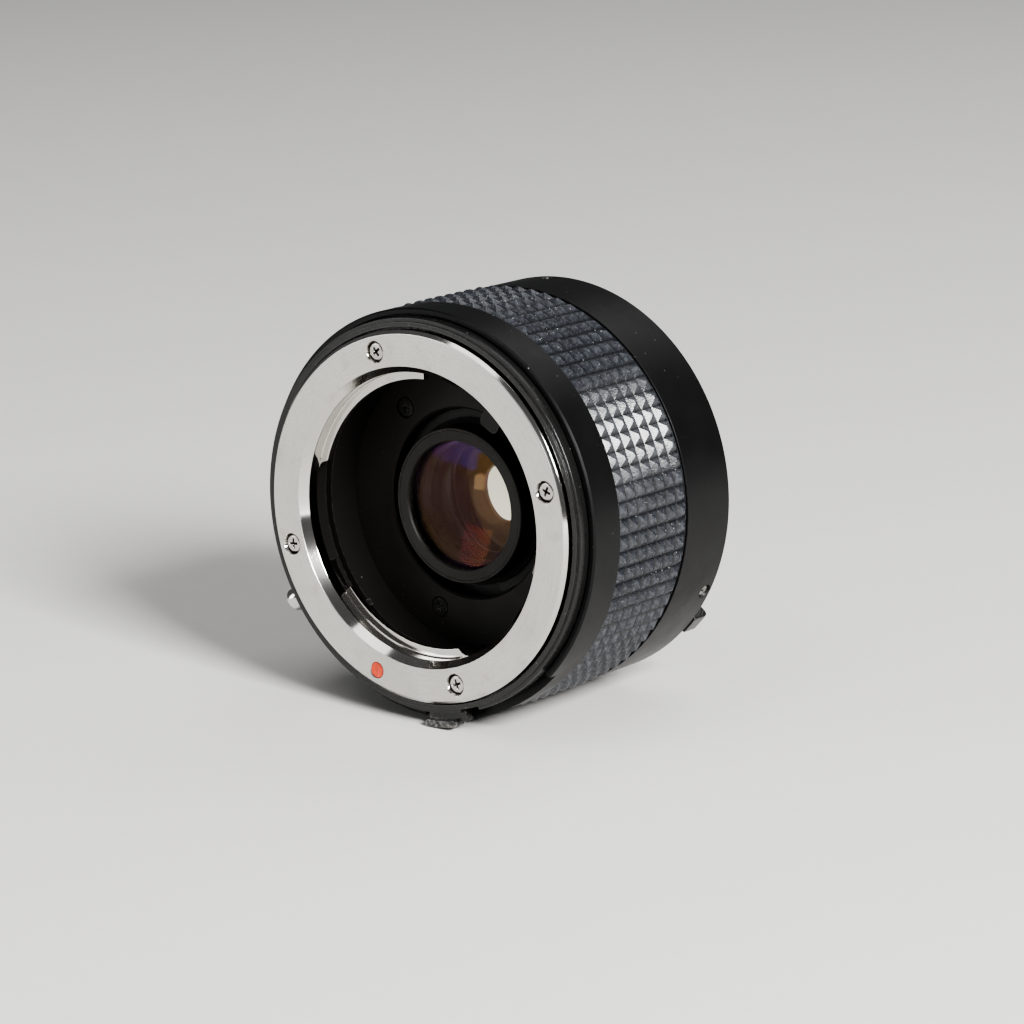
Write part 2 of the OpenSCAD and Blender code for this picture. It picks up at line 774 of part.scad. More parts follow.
// Return spring between the ring's ear and the fixed post, wound along Z in the part's frame
module aperture_spring() {
    coil_r = 1.1;
    turns = 7;
    leg = 0.6;
    coil_l = spring_high_z - spring_low_z - 2 * leg;
    coil = helix(coil_r, coil_l / turns, turns);
    color(steel) lay()
        translate([-spring_x, 0, -spring_y])
            rotate([-90, 0, 0])
                translate([0, 0, spring_low_z + leg])
                    wire(coil, spring_wire_r);
    echo(aperture_spring_gap = coil_l / turns - 2 * spring_wire_r);
}

// The turned cell that holds the four glasses, with a flange that is screwed to the main tube's web
module lens_cell() {
    ring_y = cell_front + cell_lip + cell_ring_t;
    color(black) lay() difference() {
        turned([
            [cell_ring_r + slip, cell_front], [cell_r - 0.15, cell_front], [cell_r, cell_front + 0.15],
            [cell_r, lens_web_end_y], [cell_flange_r, lens_web_end_y],
            [cell_flange_r, lens_web_end_y + cell_flange_t], [cell_rear_r, lens_web_end_y + cell_flange_t],
            [cell_rear_r, cell_end_y], [rear_glass_r + 0.1, cell_end_y], [rear_glass_r + 0.1, glass_3_y],
            [shoulder_r, glass_3_y], [shoulder_r, shoulder_y], [cell_bore_r, shoulder_y],
            [cell_bore_r, ring_y], [cell_ring_r + slip, ring_y]
        ]);
        for (k = [0 : 2]) {
            axial_rod(cell_head_r + 0.15, cell_screw_angle + 120 * k, cell_screw_r,
                lens_web_end_y + 0.6, lens_web_end_y + cell_flange_t + 1);
            axial_rod(cell_shank_r + slip, cell_screw_angle + 120 * k, cell_screw_r,
                lens_web_end_y - 1, lens_web_end_y + cell_flange_t);
        }
    }
}

module lens_cell_screws() {
    color(steel) lay()
        for (k = [0 : 2])
            at(cell_screw_angle + 120 * k, cell_screw_r, lens_web_end_y + cell_flange_t - 0.1)
                mirror([0, 0, 1])
                    cross_screw(cell_head_r, 0.8, cell_shank_r, 2.8);
}

// A threaded ring in the front of the cell that holds the front glass, with two holes for a key
module front_retaining_ring() {
    y = cell_front + cell_lip;
    color(black) lay() difference() {
        turned([
            [clear_r + 0.2, y], [cell_ring_r, y], [cell_ring_r, y + cell_ring_t],
            [clear_r, y + cell_ring_t], [clear_r, y + 0.3]
        ]);
        for (a = [0, 180])
            axial_rod(0.35, a, (clear_r + cell_ring_r) / 2, y - 1, y + 0.35);
    }
}

// A lens with a flat seat around each face: a positive bend bulges outwards, a negative one inwards
module lens(r, y, y_end, seat, bends) {
    front_bend = bends[0];
    rear_bend = bends[1];
    front_run = sqrt(pow(front_bend, 2) - seat * seat);
    rear_run = sqrt(pow(rear_bend, 2) - seat * seat);
    mid = (y + y_end) / 2;
    difference() {
        union() {
            disc(r, y, y_end);
            if (front_bend > 0)
                intersection() {
                    disc(seat, y - front_bend, mid);
                    translate([0, 0, -y - front_run])
                        sphere(r = front_bend);
                }
            if (rear_bend > 0)
                intersection() {
                    disc(seat, mid, y_end + rear_bend);
                    translate([0, 0, -y_end + rear_run])
                        sphere(r = rear_bend);
                }
        }
        if (front_bend < 0)
            translate([0, 0, -y + front_run])
                sphere(r = -front_bend);
        if (rear_bend < 0)
            translate([0, 0, -y_end - rear_run])
                sphere(r = -rear_bend);
    }
}

module front_lens() {
    color(glass) lay()
        lens(glass_r, glass_1_y, glass_1_y + glass_1_t, clear_r, glass_1_bends);
}

module front_lens_spacer() {
    color(matt_black) lay()
        tube(glass_r, clear_r, glass_1_y + glass_1_t, glass_2_y);
}

module second_lens() {
    color(glass) lay()
        lens(glass_r, glass_2_y, shoulder_y, shoulder_r, glass_2_bends);
}

module third_lens() {
    color(glass) lay()
        lens(rear_glass_r, glass_3_y, glass_3_y + glass_3_t, shoulder_r, glass_3_bends);
}

module rear_lens_spacer() {
    color(matt_black) lay()
        tube(rear_glass_r, shoulder_r + 0.8, glass_3_y + glass_3_t, glass_4_y);
}

module rear_lens() {
    color(glass) lay()
        lens(rear_glass_r, glass_4_y, glass_end_y, rear_clear_r, glass_4_bends);
}

module rear_retaining_ring() {
    color(black) lay()
        turned([
            [rear_clear_r, glass_end_y], [rear_glass_r, glass_end_y],
            [rear_glass_r, glass_end_y + rear_ring_t], [rear_clear_r + 0.7, glass_end_y + rear_ring_t]
        ]);
}

// A dished plate behind the lens cell with an oblong window and a slot for the rear lever
module rear_baffle() {
    color(matt_black) lay() difference() {
        turned([
            [0, rear_baffle_y], [rear_baffle_r, rear_baffle_y], [rear_baffle_r, rear_seat_y],
            [rear_baffle_r - 0.8, rear_seat_y], [rear_baffle_r - 0.8, rear_baffle_y + rear_baffle_t],
            [0, rear_baffle_y + rear_baffle_t]
        ]);
        translate([-window_w / 2, -window_h / 2, -rear_baffle_y - rear_baffle_t - 1])
            cube([window_w, window_h, rear_baffle_t + 2]);
        arc_block(rear_lever_r - 1.8, rear_lever_r + 0.8,
            rear_baffle_y - 1, rear_baffle_y + rear_baffle_t + 1,
            rear_lever_angle - lever_half - slot_side,
            rear_lever_angle + lever_half + slot_side + aperture_travel);
    }
}

// The domed cap that a finger presses
module release_button() {
    base_r = barrel_r + button_gap;
    dome = 0.9;
    dome_r = (button_r * button_r + dome * dome) / (2 * dome);
    color(chrome) lay() at(button_angle, base_r, button_y)
        rotate([0, 90, 0]) difference() {
            intersection() {
                cylinder(r = button_r, h = button_h);
                translate([0, 0, button_h - dome_r])
                    sphere(r = dome_r);
            }
            translate([0, 0, -1])
                cylinder(r = stem_r + slip, h = 2.2);
        }
}

// The stem under the cap, with a foot that rests on the lock lever
module release_stem() {
    color(steel) lay() {
        radial_rod(stem_r, button_angle, button_y, stem_end_r, barrel_r + button_gap + 1.15);
        radial_rod(stem_foot_r, button_angle, button_y, stem_end_r, stem_end_r + stem_foot_t);
    }
}

// A rocker: the stem presses one arm in, and the nose on the other arm leaves the lens's notch
module lock_lever() {
    color(black) lay() at(pivot_angle, pivot_r, lock_y + lock_t) difference() {
        union() {
            linear_extrude(lock_t)
                polygon([
                    [0.9, -4.6], [0.9, 0.8], [-0.9, 4.6], [-4.5, 4.6],
                    [-4.5, 3.5], [-2.3, 3.1], [-1.1, 1], [-0.9, -4.6]
                ]);
            cylinder(r = 1.6, h = lock_t);
        }
        translate([0, 0, -1])
            cylinder(r = pivot_pin_r + slip, h = lock_t + 2);
    }
}

module lock_lever_pin() {
    color(steel) lay()
        axial_rod(pivot_pin_r, pivot_angle, pivot_r, pocket_y - 0.7, pocket_end_y + 0.5);
}

// A small torsion spring on the lever's pin
module lock_lever_spring() {
    turns = 3;
    pitch = 0.65;
    y = lock_y + lock_t + 0.35 + turns * pitch;
    color(steel) lay()
        at(pivot_angle, pivot_r, y)
            wire(helix(lock_spring_r, pitch, turns), lock_wire_r);
    echo(lock_spring_gap = pitch - 2 * lock_wire_r);
}

// The male bayonet that enters the camera: plate, register, neck and three lugs
module rear_mount_ring() {
    gap_mid = [for (i = [0 : 2]) (lug_to[i] + lug_from[(i + 1) % 3] + (i == 2 ? 360 : 0)) / 2];
    lug_end_y = rear_lug_y + rear_lug_t;
    color(chrome) lay() difference() {
        union() {
            turned([
                [rear_bore_r, rear_seat_y], [rear_plate_r, rear_seat_y],
                [rear_plate_r, total_y - edge_chamfer], [rear_plate_r - edge_chamfer, total_y],
                [rear_register_r, total_y],
                [rear_register_r, total_y + rear_register_l], [rear_neck_r, total_y + rear_register_l],
                [rear_neck_r, lug_end_y], [rear_bore_r, lug_end_y]
            ]);
            for (mid = gap_mid)
                arc_block(rear_neck_r - 0.5, rear_lug_r, rear_lug_y, lug_end_y,
                    mid - lock_turn - rear_lug_span / 2, mid - lock_turn + rear_lug_span / 2);
        }
        for (k = [0 : 3])
            at(rear_screw_angle + 90 * k, rear_screw_r, total_y)
                mirror([0, 0, 1])
                    screw_seat();
    }
}

module rear_mount_screws() {
    color(steel) lay()
        for (k = [0 : 3])
            at(rear_screw_angle + 90 * k, rear_screw_r, total_y)
                mirror([0, 0, 1])
                    flange_screw();
}

front_mount_ring();
front_mount_screws();
front_index_dot();
bayonet_springs();
meter_ring();
meter_link_bars();
rear_meter_ring();
barrel_shell();
grip_sleeve();
rear_barrel();
barrel_set_screws();
rear_index_dot();
main_tube();
front_baffle();
front_baffle_screws();
aperture_ring();
aperture_ring_clip();
front_aperture_lever();
rear_aperture_lever();
aperture_spring();
lens_cell();
lens_cell_screws();
front_retaining_ring();
front_lens();
front_lens_spacer();
second_lens();
third_lens();
rear_lens_spacer();
rear_lens();
rear_retaining_ring();
rear_baffle();
release_button();
release_stem();
lock_lever();
lock_lever_pin();
lock_lever_spring();
rear_mount_ring();
rear_mount_screws();
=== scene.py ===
"""The looks of a camera teleconverter, built around its CAD frame.

Lengths inside the functions are in millimetres, with a radius from the optical axis, an angle in degrees seen
from the lens side and counted anticlockwise from +X, and a depth behind the front flange face.
"""
import json
import bpy
import numpy as np
from mathutils import Matrix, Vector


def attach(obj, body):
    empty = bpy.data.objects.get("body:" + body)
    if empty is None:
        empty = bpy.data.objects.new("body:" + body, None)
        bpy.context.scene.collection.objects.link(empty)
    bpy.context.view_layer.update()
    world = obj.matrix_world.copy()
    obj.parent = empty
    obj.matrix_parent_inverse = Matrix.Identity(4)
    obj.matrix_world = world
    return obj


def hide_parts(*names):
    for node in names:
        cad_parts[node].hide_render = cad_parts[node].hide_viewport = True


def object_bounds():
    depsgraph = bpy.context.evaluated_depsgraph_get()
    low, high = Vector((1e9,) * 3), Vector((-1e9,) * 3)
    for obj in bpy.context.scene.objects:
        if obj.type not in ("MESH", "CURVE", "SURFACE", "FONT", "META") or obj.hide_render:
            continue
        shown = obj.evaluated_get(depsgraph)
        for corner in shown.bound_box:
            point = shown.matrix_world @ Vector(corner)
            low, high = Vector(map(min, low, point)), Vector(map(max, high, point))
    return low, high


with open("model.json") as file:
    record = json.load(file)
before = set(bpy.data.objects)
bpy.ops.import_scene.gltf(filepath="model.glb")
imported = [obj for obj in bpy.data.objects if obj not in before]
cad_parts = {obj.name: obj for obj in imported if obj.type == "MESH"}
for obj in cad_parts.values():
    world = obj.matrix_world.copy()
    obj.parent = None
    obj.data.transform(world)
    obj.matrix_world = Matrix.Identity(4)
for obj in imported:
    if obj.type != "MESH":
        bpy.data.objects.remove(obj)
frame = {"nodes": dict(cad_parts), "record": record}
cad_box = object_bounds()
nodes = frame["nodes"]

# Depths: the frame starts at the front flange, and its origin lies on the rear flange
FRONT = round(1000.0 * cad_box[0][1], 2)
REAR_FACE = -FRONT
GRIP_FROM, GRIP_TO = 10.2, 28.7
SHELL_END = 39.6
BAND_END = 40.65

# Radii
BARREL_R = 34.25
SOCKET_R = 24.0
FOOT_R = 35.2
CLEAR_R = 10.8

# Screws and their hollows
FRONT_SCREWS = 17.3 + 90.0 * np.arange(4)
REAR_SCREWS = 33.0 + 90.0 * np.arange(4)
SCREW_R, REAR_SCREW_R = 27.95, 26.88
HEAD_R, HEAD_T, HEAD_SINK = 1.45, 0.85, 0.4
HEAD_HOLE_R, HEAD_HOLE = HEAD_R + 0.3, 1.2
SET_SCREWS = 93.6 + 120.0 * np.arange(3)
SET_Y, SET_HEAD_R, SET_HEAD_T, SET_SINK = 38.6, 1.0, 0.5, 0.3
SET_HOLE_R, SET_HOLE = SET_HEAD_R + 0.3, 0.8

# Index dots and release button
DOT_R, DOT_T, DOT_HOLE_R, DOT_HOLE = 1.3, 0.4, 1.36, 0.3
FRONT_DOT_R, FRONT_DOT_ANGLE = SCREW_R + 0.35, -107.1
REAR_DOT_ANGLE, REAR_DOT_Y = 200.0, 33.7
BUTTON_ANGLE, BUTTON_Y, BUTTON_R = -147.5, 6.1, 2.0


# Surfaces

def polar(r, angle, y):
    """Points at a radius, an angle and a depth, in metres in the part's frame."""
    a = np.radians(angle)
    r, a, y = np.broadcast_arrays(r, a, y)
    return np.stack([r * np.cos(a), FRONT + y, r * np.sin(a)], -1) * 0.001


def smooth(low, high, x):
    """Smooth step: 0 below low, 1 above high, and t*t*(3-2t) between them."""
    t = np.clip((x - low) / (high - low), 0.0, 1.0)
    return t * t * (3.0 - 2.0 * t)


def half_turn(angle):
    """The same angle between -180 and 180 degrees."""
    return (angle + 180.0) % 360.0 - 180.0


def line(r, depths):
    """Outline points at one radius and several depths."""
    return np.stack([np.full(len(depths), r), depths], -1)


def quads(nu, nv, wrap_u=False, wrap_v=False):
    """Faces of a grid of nu by nv points, closed along u or v where asked."""
    a, b = np.meshgrid(np.arange(nu - (not wrap_u)), np.arange(nv - (not wrap_v)), indexing="ij")
    c, d = (a + 1) % nu, (b + 1) % nv
    return np.stack([a * nv + b, c * nv + b, c * nv + d, a * nv + d], -1).reshape(-1, 4)


def rounded(points, radius, steps=4):
    """Closed outline whose corners are arcs: each arc touches both sides of its corner and is cut short
    where a side is short. A point just past each end of an arc keeps the flat beside it flat."""
    p = np.asarray(points, float)
    rad = np.broadcast_to(np.asarray(radius, float), len(p))
    u, v = np.roll(p, 1, 0) - p, np.roll(p, -1, 0) - p
    lu, lv = np.linalg.norm(u, axis=1), np.linalg.norm(v, axis=1)
    u, v = u / lu[:, None], v / lv[:, None]
    half = np.arccos(np.clip((u * v).sum(1), -0.9999, 0.9999)) / 2
    cut = np.minimum(rad / np.tan(half), 0.4 * np.minimum(lu, lv))
    mid = (u + v) / np.linalg.norm(u + v, axis=1)[:, None]
    centre = p + mid * (cut / np.cos(half))[:, None]
    turn = (np.pi - 2 * half)[:, None]
    t = np.linspace(0.0, 1.0, steps + 1)[None]
    w0, w1 = np.sin((1 - t) * turn) / np.sin(turn), np.sin(t * turn) / np.sin(turn)
    start, end = (p + u * cut[:, None]) - centre, (p + v * cut[:, None]) - centre
    arc = centre[:, None] + w0[..., None] * start[:, None] + w1[..., None] * end[:, None]
    lead = 0.15 * cut[:, None]
    first, last = p + u * (cut[:, None] + lead), p + v * (cut[:, None] + lead)
    return np.concatenate([first[:, None], arc, last[:, None]], 1).reshape(-1, 2)


def after_corner(outline, corner, corners, points):
    """A rounded outline with more points put in after one of its corners, counted from 1."""
    return np.insert(outline, len(outline) * corner // corners, points, 0)


def fill_long(outline, step):
    """The same closed outline with points added so that no side is longer than step."""
    nxt = np.roll(outline, -1, 0)
    count = np.maximum(1, np.ceil(np.linalg.norm(nxt - outline, axis=1) / step).astype(int))
    index = np.repeat(np.arange(len(outline)), count)
    t = (np.arange(count.sum()) - np.repeat(np.cumsum(count) - count, count)) / count[index]
    return outline[index] + (nxt - outline)[index] * t[:, None]


def one_way(outline):
    """The outline in the order that makes its faces look outwards."""
    o = np.asarray(outline, float)
    area = np.sum(o[:, 0] * np.roll(o[:, 1], -1) - np.roll(o[:, 0], -1) * o[:, 1])
    return o[::-1] if area > 0 else o


def turned(outline, angles, change=None):
    """Surface of revolution: a closed outline of (radius, depth) points carried round the optical axis.
    change(radius, angle, depth) may return a changed radius and depth at each point."""
    o = one_way(outline)
    r, a = np.meshgrid(o[:, 0], angles, indexing="xy")
    y = np.broadcast_to(o[:, 1], r.shape)
    if change is not None:
        r, y = change(r, a, y)
    return polar(r, a, y).reshape(-1, 3), [quads(len(angles), len(o), True, True)]


def around(*spots, base=360, half=5.0, step=0.22):
    """Angles of a full turn: evenly spaced ones, and close ones within half degrees of each spot."""
    near = [s + np.arange(-half, half + step / 2, step) for s in spots]
    angles = np.concatenate([np.arange(base) * 360.0 / base] + near) % 360.0
    angles = np.unique(np.round(angles, 3))
    keep = np.diff(np.append(angles, angles[0] + 360.0)) > 0.04
    return angles[keep]


def box_grid(size, radius, cuts=(1, 1, 1), steps=3):
    """Closed box with rounded edges: each point of a box is drawn to the nearest point of an inner box and
    set one edge radius away from it. cuts is how many flat strips lie along each side."""
    h = np.asarray(size, float) / 2
    inner = h - radius
    edge = radius * np.tan(np.linspace(0.0, np.pi / 4, steps + 1))
    lines = [np.concatenate([(-inner[k] - edge)[::-1], np.linspace(-inner[k], inner[k], cuts[k] + 1)[1:-1],
                             inner[k] + edge]) for k in range(3)]
    points, faces, first = [], [], 0
    for k in range(3):
        i, j = (k + 1) % 3, (k + 2) % 3
        for side in (-1, 1):
            gi, gj = np.meshgrid(lines[i], lines[j], indexing="ij")
            p = np.empty(gi.shape + (3,))
            p[..., i], p[..., j], p[..., k] = gi, gj, side * h[k]
            q = quads(*gi.shape) + first
            points.append(p.reshape(-1, 3))
            faces.append(q if side > 0 else q[:, ::-1])
            first += gi.size
    p = np.concatenate(points)
    key, index = np.unique(np.round(p, 5), axis=0, return_inverse=True)
    core = np.clip(key, -inner, inner)
    n = key - core
    key = core + radius * n / np.linalg.norm(n, axis=1)[:, None]
    return key, index.reshape(-1)[np.concatenate(faces)]


def swept(outline, angles, scale=1.0):
    """Closed outline of (radius, depth) points carried round the optical axis through part of a turn, with
    flat ends. scale draws the outline together about its middle at each angle."""
    o = one_way(outline)
    n, m = len(angles), len(o)
    mid = o.mean(0)
    s = mid + (o - mid) * np.broadcast_to(scale, n)[:, None, None]
    points = polar(s[..., 0], np.asarray(angles)[:, None], s[..., 1]).reshape(-1, 3)
    ring = np.arange(m)[None]
    return points, [quads(n, m, False, True), ring, (n - 1) * m + ring[:, ::-1]]


def arc_block(r_in, r_out, y, y_end, a, b, radius=0.12, change=None):
    """Rounded block bent round the optical axis between two radii, two depths and two angles."""
    mid_r, mid_a = (r_in + r_out) / 2, (a + b) / 2
    length = np.radians(b - a) * mid_r
    p, f = box_grid((r_out - r_in, length, y_end - y), radius, (1, max(1, int(abs(b - a) / 1.5)), 1))
    r, t, d = mid_r + p[:, 0], mid_a + np.degrees(p[:, 1] / mid_r), (y + y_end) / 2 + p[:, 2]
    if change is not None:
        r = change(r, t)
    return polar(r, t, d), [f[:, ::-1]]


def spun(outline, sides=64):
    """Solid of revolution about its own Z: (radius, height) points from the top of the axis to its foot."""
    o = np.asarray(outline, float)
    t = np.linspace(0.0, 2 * np.pi, sides, endpoint=False)
    ring = o[1:-1]
    p = np.stack([np.outer(np.cos(t), ring[:, 0]), np.outer(np.sin(t), ring[:, 0]),
                  np.broadcast_to(ring[:, 1], (sides, len(ring)))], -1).reshape(-1, 3)
    m, top = len(ring), sides * len(ring)
    p = np.concatenate([p, [[0, 0, o[0, 1]], [0, 0, o[-1, 1]]]])
    i = np.arange(sides)
    k = (i + 1) % sides
    cap = np.stack([np.full(sides, top), i * m, k * m], -1)
    foot = np.stack([np.full(sides, top + 1), k * m + m - 1, i * m + m - 1], -1)
    return p, [quads(sides, m, True, False)[:, ::-1], cap, foot]


def stand(local, angle, r, y, way):
    """Places local points at a spot so that their Z looks to the front, to the rear or straight out."""
    a = np.radians(angle)
    out, round_ = np.array([np.cos(a), 0, np.sin(a)]), np.array([-np.sin(a), 0, np.cos(a)])
    front = np.array([0.0, -1.0, 0.0])
    axes = {"front": (out, round_, front), "rear": (round_, out, -front), "out": (round_, front, out)}[way]
    return polar(r, angle, y) + 0.001 * (local @ np.array(axes))


def cross_screw(head_r, head_t, turn=45.0):
    """Screw head: a slightly domed disc with a rounded rim and a cross-shaped hollow. The hollow's depth is a
    smooth step of the distance from the edges of two crossed bars, deeper towards the middle."""
    rim = 0.16 * head_r
    flat_r = head_r - rim
    curve = flat_r + rim * np.sin(np.linspace(0.2, np.pi / 2, 5))
    rho = np.concatenate([np.linspace(0.02, flat_r, 34), curve])
    z = np.where(rho > flat_r, -rim + np.sqrt(np.maximum(rim**2 - (rho - head_r + rim)**2, 0.0)), 0.0)
    z = z - 0.05 * head_r * (rho / head_r)**2
    rho, z = np.append(rho, [head_r, 0.4 * head_r]), np.append(z, [-head_t, -head_t])
    outline = np.concatenate([[[0.0, 0.0]], np.stack([rho, z], -1), [[0.0, -head_t]]])
    p, f = spun(outline, 96)
    c, s = np.cos(np.radians(turn)), np.sin(np.radians(turn))
    x, y = np.abs(c * p[:, 0] + s * p[:, 1]), np.abs(c * p[:, 1] - s * p[:, 0])
    soft, wide, long_ = 0.05 * head_r, 0.11 * head_r, 0.56 * head_r

    def bar(u, v):
        return (1 - smooth(long_ - soft, long_ + soft, u)) * (1 - smooth(wide - soft, wide + soft, v))

    hollow = np.maximum(bar(x, y), bar(y, x)) * (1.0 - 0.5 * np.minimum(np.hypot(x, y) / long_, 1.0))
    p[:, 2] -= np.where(p[:, 2] > -0.5 * head_t, 0.75 * head_t * hollow, 0.0)
    # The returned mask is painted shade for the material, strongest in the cross.
    return p, f, np.minimum(1.6 * hollow, 1.0)


def lens_outline(r, y, y_end, seat, bends):
    """Half section of a lens from its front pole to its rear pole, with heights towards the front. Each face
    is part of a circle as far as its seat: a positive bend bulges outwards and a negative one inwards."""
    s = np.linspace(0.0, seat, 28)
    bevel, ledge = 0.1, seat + 0.05

    def sag(bend):
        return np.sign(bend) * (np.sqrt(bend**2 - s**2) - np.sqrt(bend**2 - seat**2))

    front = np.stack([s, -y + sag(bends[0])], -1)
    rear = np.stack([s, -y_end - sag(bends[1])], -1)[::-1]
    edge = np.array([[ledge, -y], [r - bevel, -y], [r, -y - bevel],
                     [r, -y_end + bevel], [r - bevel, -y_end], [ledge, -y_end]])
    return np.concatenate([front, edge, rear])


def holes(spots, r, depth, soft=0.07):
    """Depth of round hollows on a flat face: a smooth step of the distance from each (radius, angle) spot."""
    def sink(radius, angle):
        total = np.zeros(np.shape(radius))
        for spot_r, spot_a in spots:
            da = np.radians(angle - spot_a)
            d = np.sqrt(radius**2 + spot_r**2 - 2 * radius * spot_r * np.cos(da))
            total = np.maximum(total, depth * (1 - smooth(r - soft, r + soft, d)))
        return total
    return sink


def wall_holes(spots, r, soft=0.06):
    """Mask of round hollows on the barrel's wall: 1 within r of each (angle, depth) spot."""
    def mask(angle, y):
        total = np.zeros(np.shape(angle))
        for spot_a, spot_y in spots:
            da = np.radians(half_turn(angle - spot_a)) * BARREL_R
            total = np.maximum(total, 1 - smooth(r - soft, r + soft, np.hypot(da, y - spot_y)))
        return total
    return mask


# Objects

def shown(name, parts, mat):
    """New object made of surfaces: each is an array of points with arrays of faces, which are rows of point
    numbers."""
    first = np.cumsum([0] + [len(p) for p, _ in parts])
    faces = [f + start for start, (_, arrays) in zip(first, parts) for f in arrays]
    sides = np.concatenate([np.full(len(f), f.shape[1]) for f in faces])
    mesh = bpy.data.meshes.new(name)
    mesh.vertices.add(int(first[-1]))
    mesh.vertices.foreach_set("co", np.concatenate([p for p, _ in parts]).astype(np.float32).ravel())
    mesh.loops.add(int(sides.sum()))
    mesh.polygons.add(len(sides))
    mesh.polygons.foreach_set("loop_start", (np.cumsum(sides) - sides).astype(np.int32))
    mesh.polygons.foreach_set("vertices", np.concatenate([f.ravel() for f in faces]).astype(np.int32))
    mesh.update(calc_edges=True)
    mesh.materials.append(mat)
    piece = bpy.data.objects.new(name, mesh)
    bpy.context.scene.collection.objects.link(piece)
    return piece


def add(name, parts, body, slot, replaces=(), hollow=None, flat=False):
    """One shown piece riding on a CAD body, in a slot with its material, and standing for CAD nodes. hollow
    is a mask for each point that the material reads as painted shade, 1 in the bottom of holes."""
    piece = shown(name, parts, MAT[slot])
    mesh = piece.data
    if flat:
        mesh.shade_flat()
    else:
        mesh.shade_smooth()
    if hollow is not None:
        mask = mesh.attributes.new("hollow", "FLOAT", "POINT")
        mask.data.foreach_set("value", np.asarray(hollow, np.float32))
    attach(piece, body)
    if replaces:
        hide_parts(*replaces)


# Shader groups

def group(name, inputs, outputs):
    """Empty shader node group with float inputs (name, default) and outputs (name, socket type)."""
    tree = bpy.data.node_groups.new(name, "ShaderNodeTree")
    for label, default in inputs:
        socket = tree.interface.new_socket(label, in_out="INPUT", socket_type="NodeSocketFloat")
        socket.default_value = default
    for label, kind in outputs:
        tree.interface.new_socket(label, in_out="OUTPUT", socket_type=kind)
    return tree, tree.nodes.new("NodeGroupInput"), tree.nodes.new("NodeGroupOutput")


def link(tree, source, target):
    """Joins two sockets, or sets a constant on the target."""
    if isinstance(source, bpy.types.NodeSocket):
        tree.links.new(source, target)
    else:
        target.default_value = source


def math_node(tree, kind, a, b=0.0, c=None, clamp=False):
    """Math node and its output socket."""
    n = tree.nodes.new("ShaderNodeMath")
    n.operation, n.use_clamp = kind, clamp
    for k, value in enumerate((a, b) if c is None else (a, b, c)):
        link(tree, value, n.inputs[k])
    return n.outputs[0]


def times(tree, a, b, clamp=False):
    """Product of two values."""
    return math_node(tree, "MULTIPLY", a, b, clamp=clamp)


def span(tree, value, low, high, to_low=0.0, to_high=1.0):
    """Maps a value from one range to another, clamped."""
    n = tree.nodes.new("ShaderNodeMapRange")
    for socket, v in zip(n.inputs[:5], (value, low, high, to_low, to_high)):
        link(tree, v, socket)
    return n.outputs[0]


def noise(tree, vector, scale, detail=2.0, rough=0.5):
    """Noise over a vector."""
    n = tree.nodes.new("ShaderNodeTexNoise")
    tree.links.new(vector, n.inputs["Vector"])
    link(tree, scale, n.inputs["Scale"])
    n.inputs["Detail"].default_value, n.inputs["Roughness"].default_value = detail, rough
    return n.outputs["Fac"]


def coordinates(tree):
    """Object coordinates, which are the part's frame in metres."""
    return tree.nodes.new("ShaderNodeTexCoord").outputs["Object"]


def xyz(tree, vector):
    """The three numbers of a vector, as sockets named X, Y and Z."""
    n = tree.nodes.new("ShaderNodeSeparateXYZ")
    tree.links.new(vector, n.inputs[0])
    return n.outputs


def axis_distance(tree, at):
    """Distance from the optical axis, from the X and Z of a place."""
    square = math_node(tree, "ADD", times(tree, at["X"], at["X"]), times(tree, at["Z"], at["Z"]))
    return math_node(tree, "SQRT", square)


def make_grain():
    """Fine cast or moulded texture: two sizes of noise added together."""
    t, i, o = group("grain", [("Scale", 4000.0)], [("Value", "NodeSocketFloat")])
    at = coordinates(t)
    coarse = times(t, i.outputs["Scale"], 0.3)
    both = math_node(t, "ADD", noise(t, at, i.outputs["Scale"]), noise(t, at, coarse, 3.0))
    t.links.new(times(t, both, 0.5), o.inputs["Value"])
    return t


def make_smudge():
    """Broad cloudy marks, as fingers and a cloth leave them."""
    t, i, o = group("smudge", [("Scale", 90.0)], [("Value", "NodeSocketFloat")])
    at = coordinates(t)
    warp = t.nodes.new("ShaderNodeTexNoise")
    warp.inputs["Scale"].default_value = 40.0
    t.links.new(at, warp.inputs["Vector"])
    shift = t.nodes.new("ShaderNodeVectorMath")
    shift.operation = "MULTIPLY_ADD"
    t.links.new(warp.outputs["Color"], shift.inputs[0])
    shift.inputs[1].default_value = (0.02, 0.02, 0.02)
    t.links.new(at, shift.inputs[2])
    cloud = noise(t, shift.outputs[0], i.outputs["Scale"], 4.0, 0.6)
    t.links.new(span(t, cloud, 0.35, 0.7), o.inputs["Value"])
    return t


def make_turning():
    """Lines of a lathe: noise drawn along the radius and the depth, so it is constant round each circle."""
    t, i, o = group("turning", [("Scale", 6000.0)], [("Value", "NodeSocketFloat")])
    at = xyz(t, coordinates(t))
    n = t.nodes.new("ShaderNodeTexNoise")
    n.noise_dimensions = "1D"
    t.links.new(math_node(t, "MULTIPLY_ADD", at["Y"], 0.7, axis_distance(t, at)), n.inputs["W"])
    t.links.new(i.outputs["Scale"], n.inputs["Scale"])
    n.inputs["Detail"].default_value = 3.0
    t.links.new(n.outputs["Fac"], o.inputs["Value"])
    return t


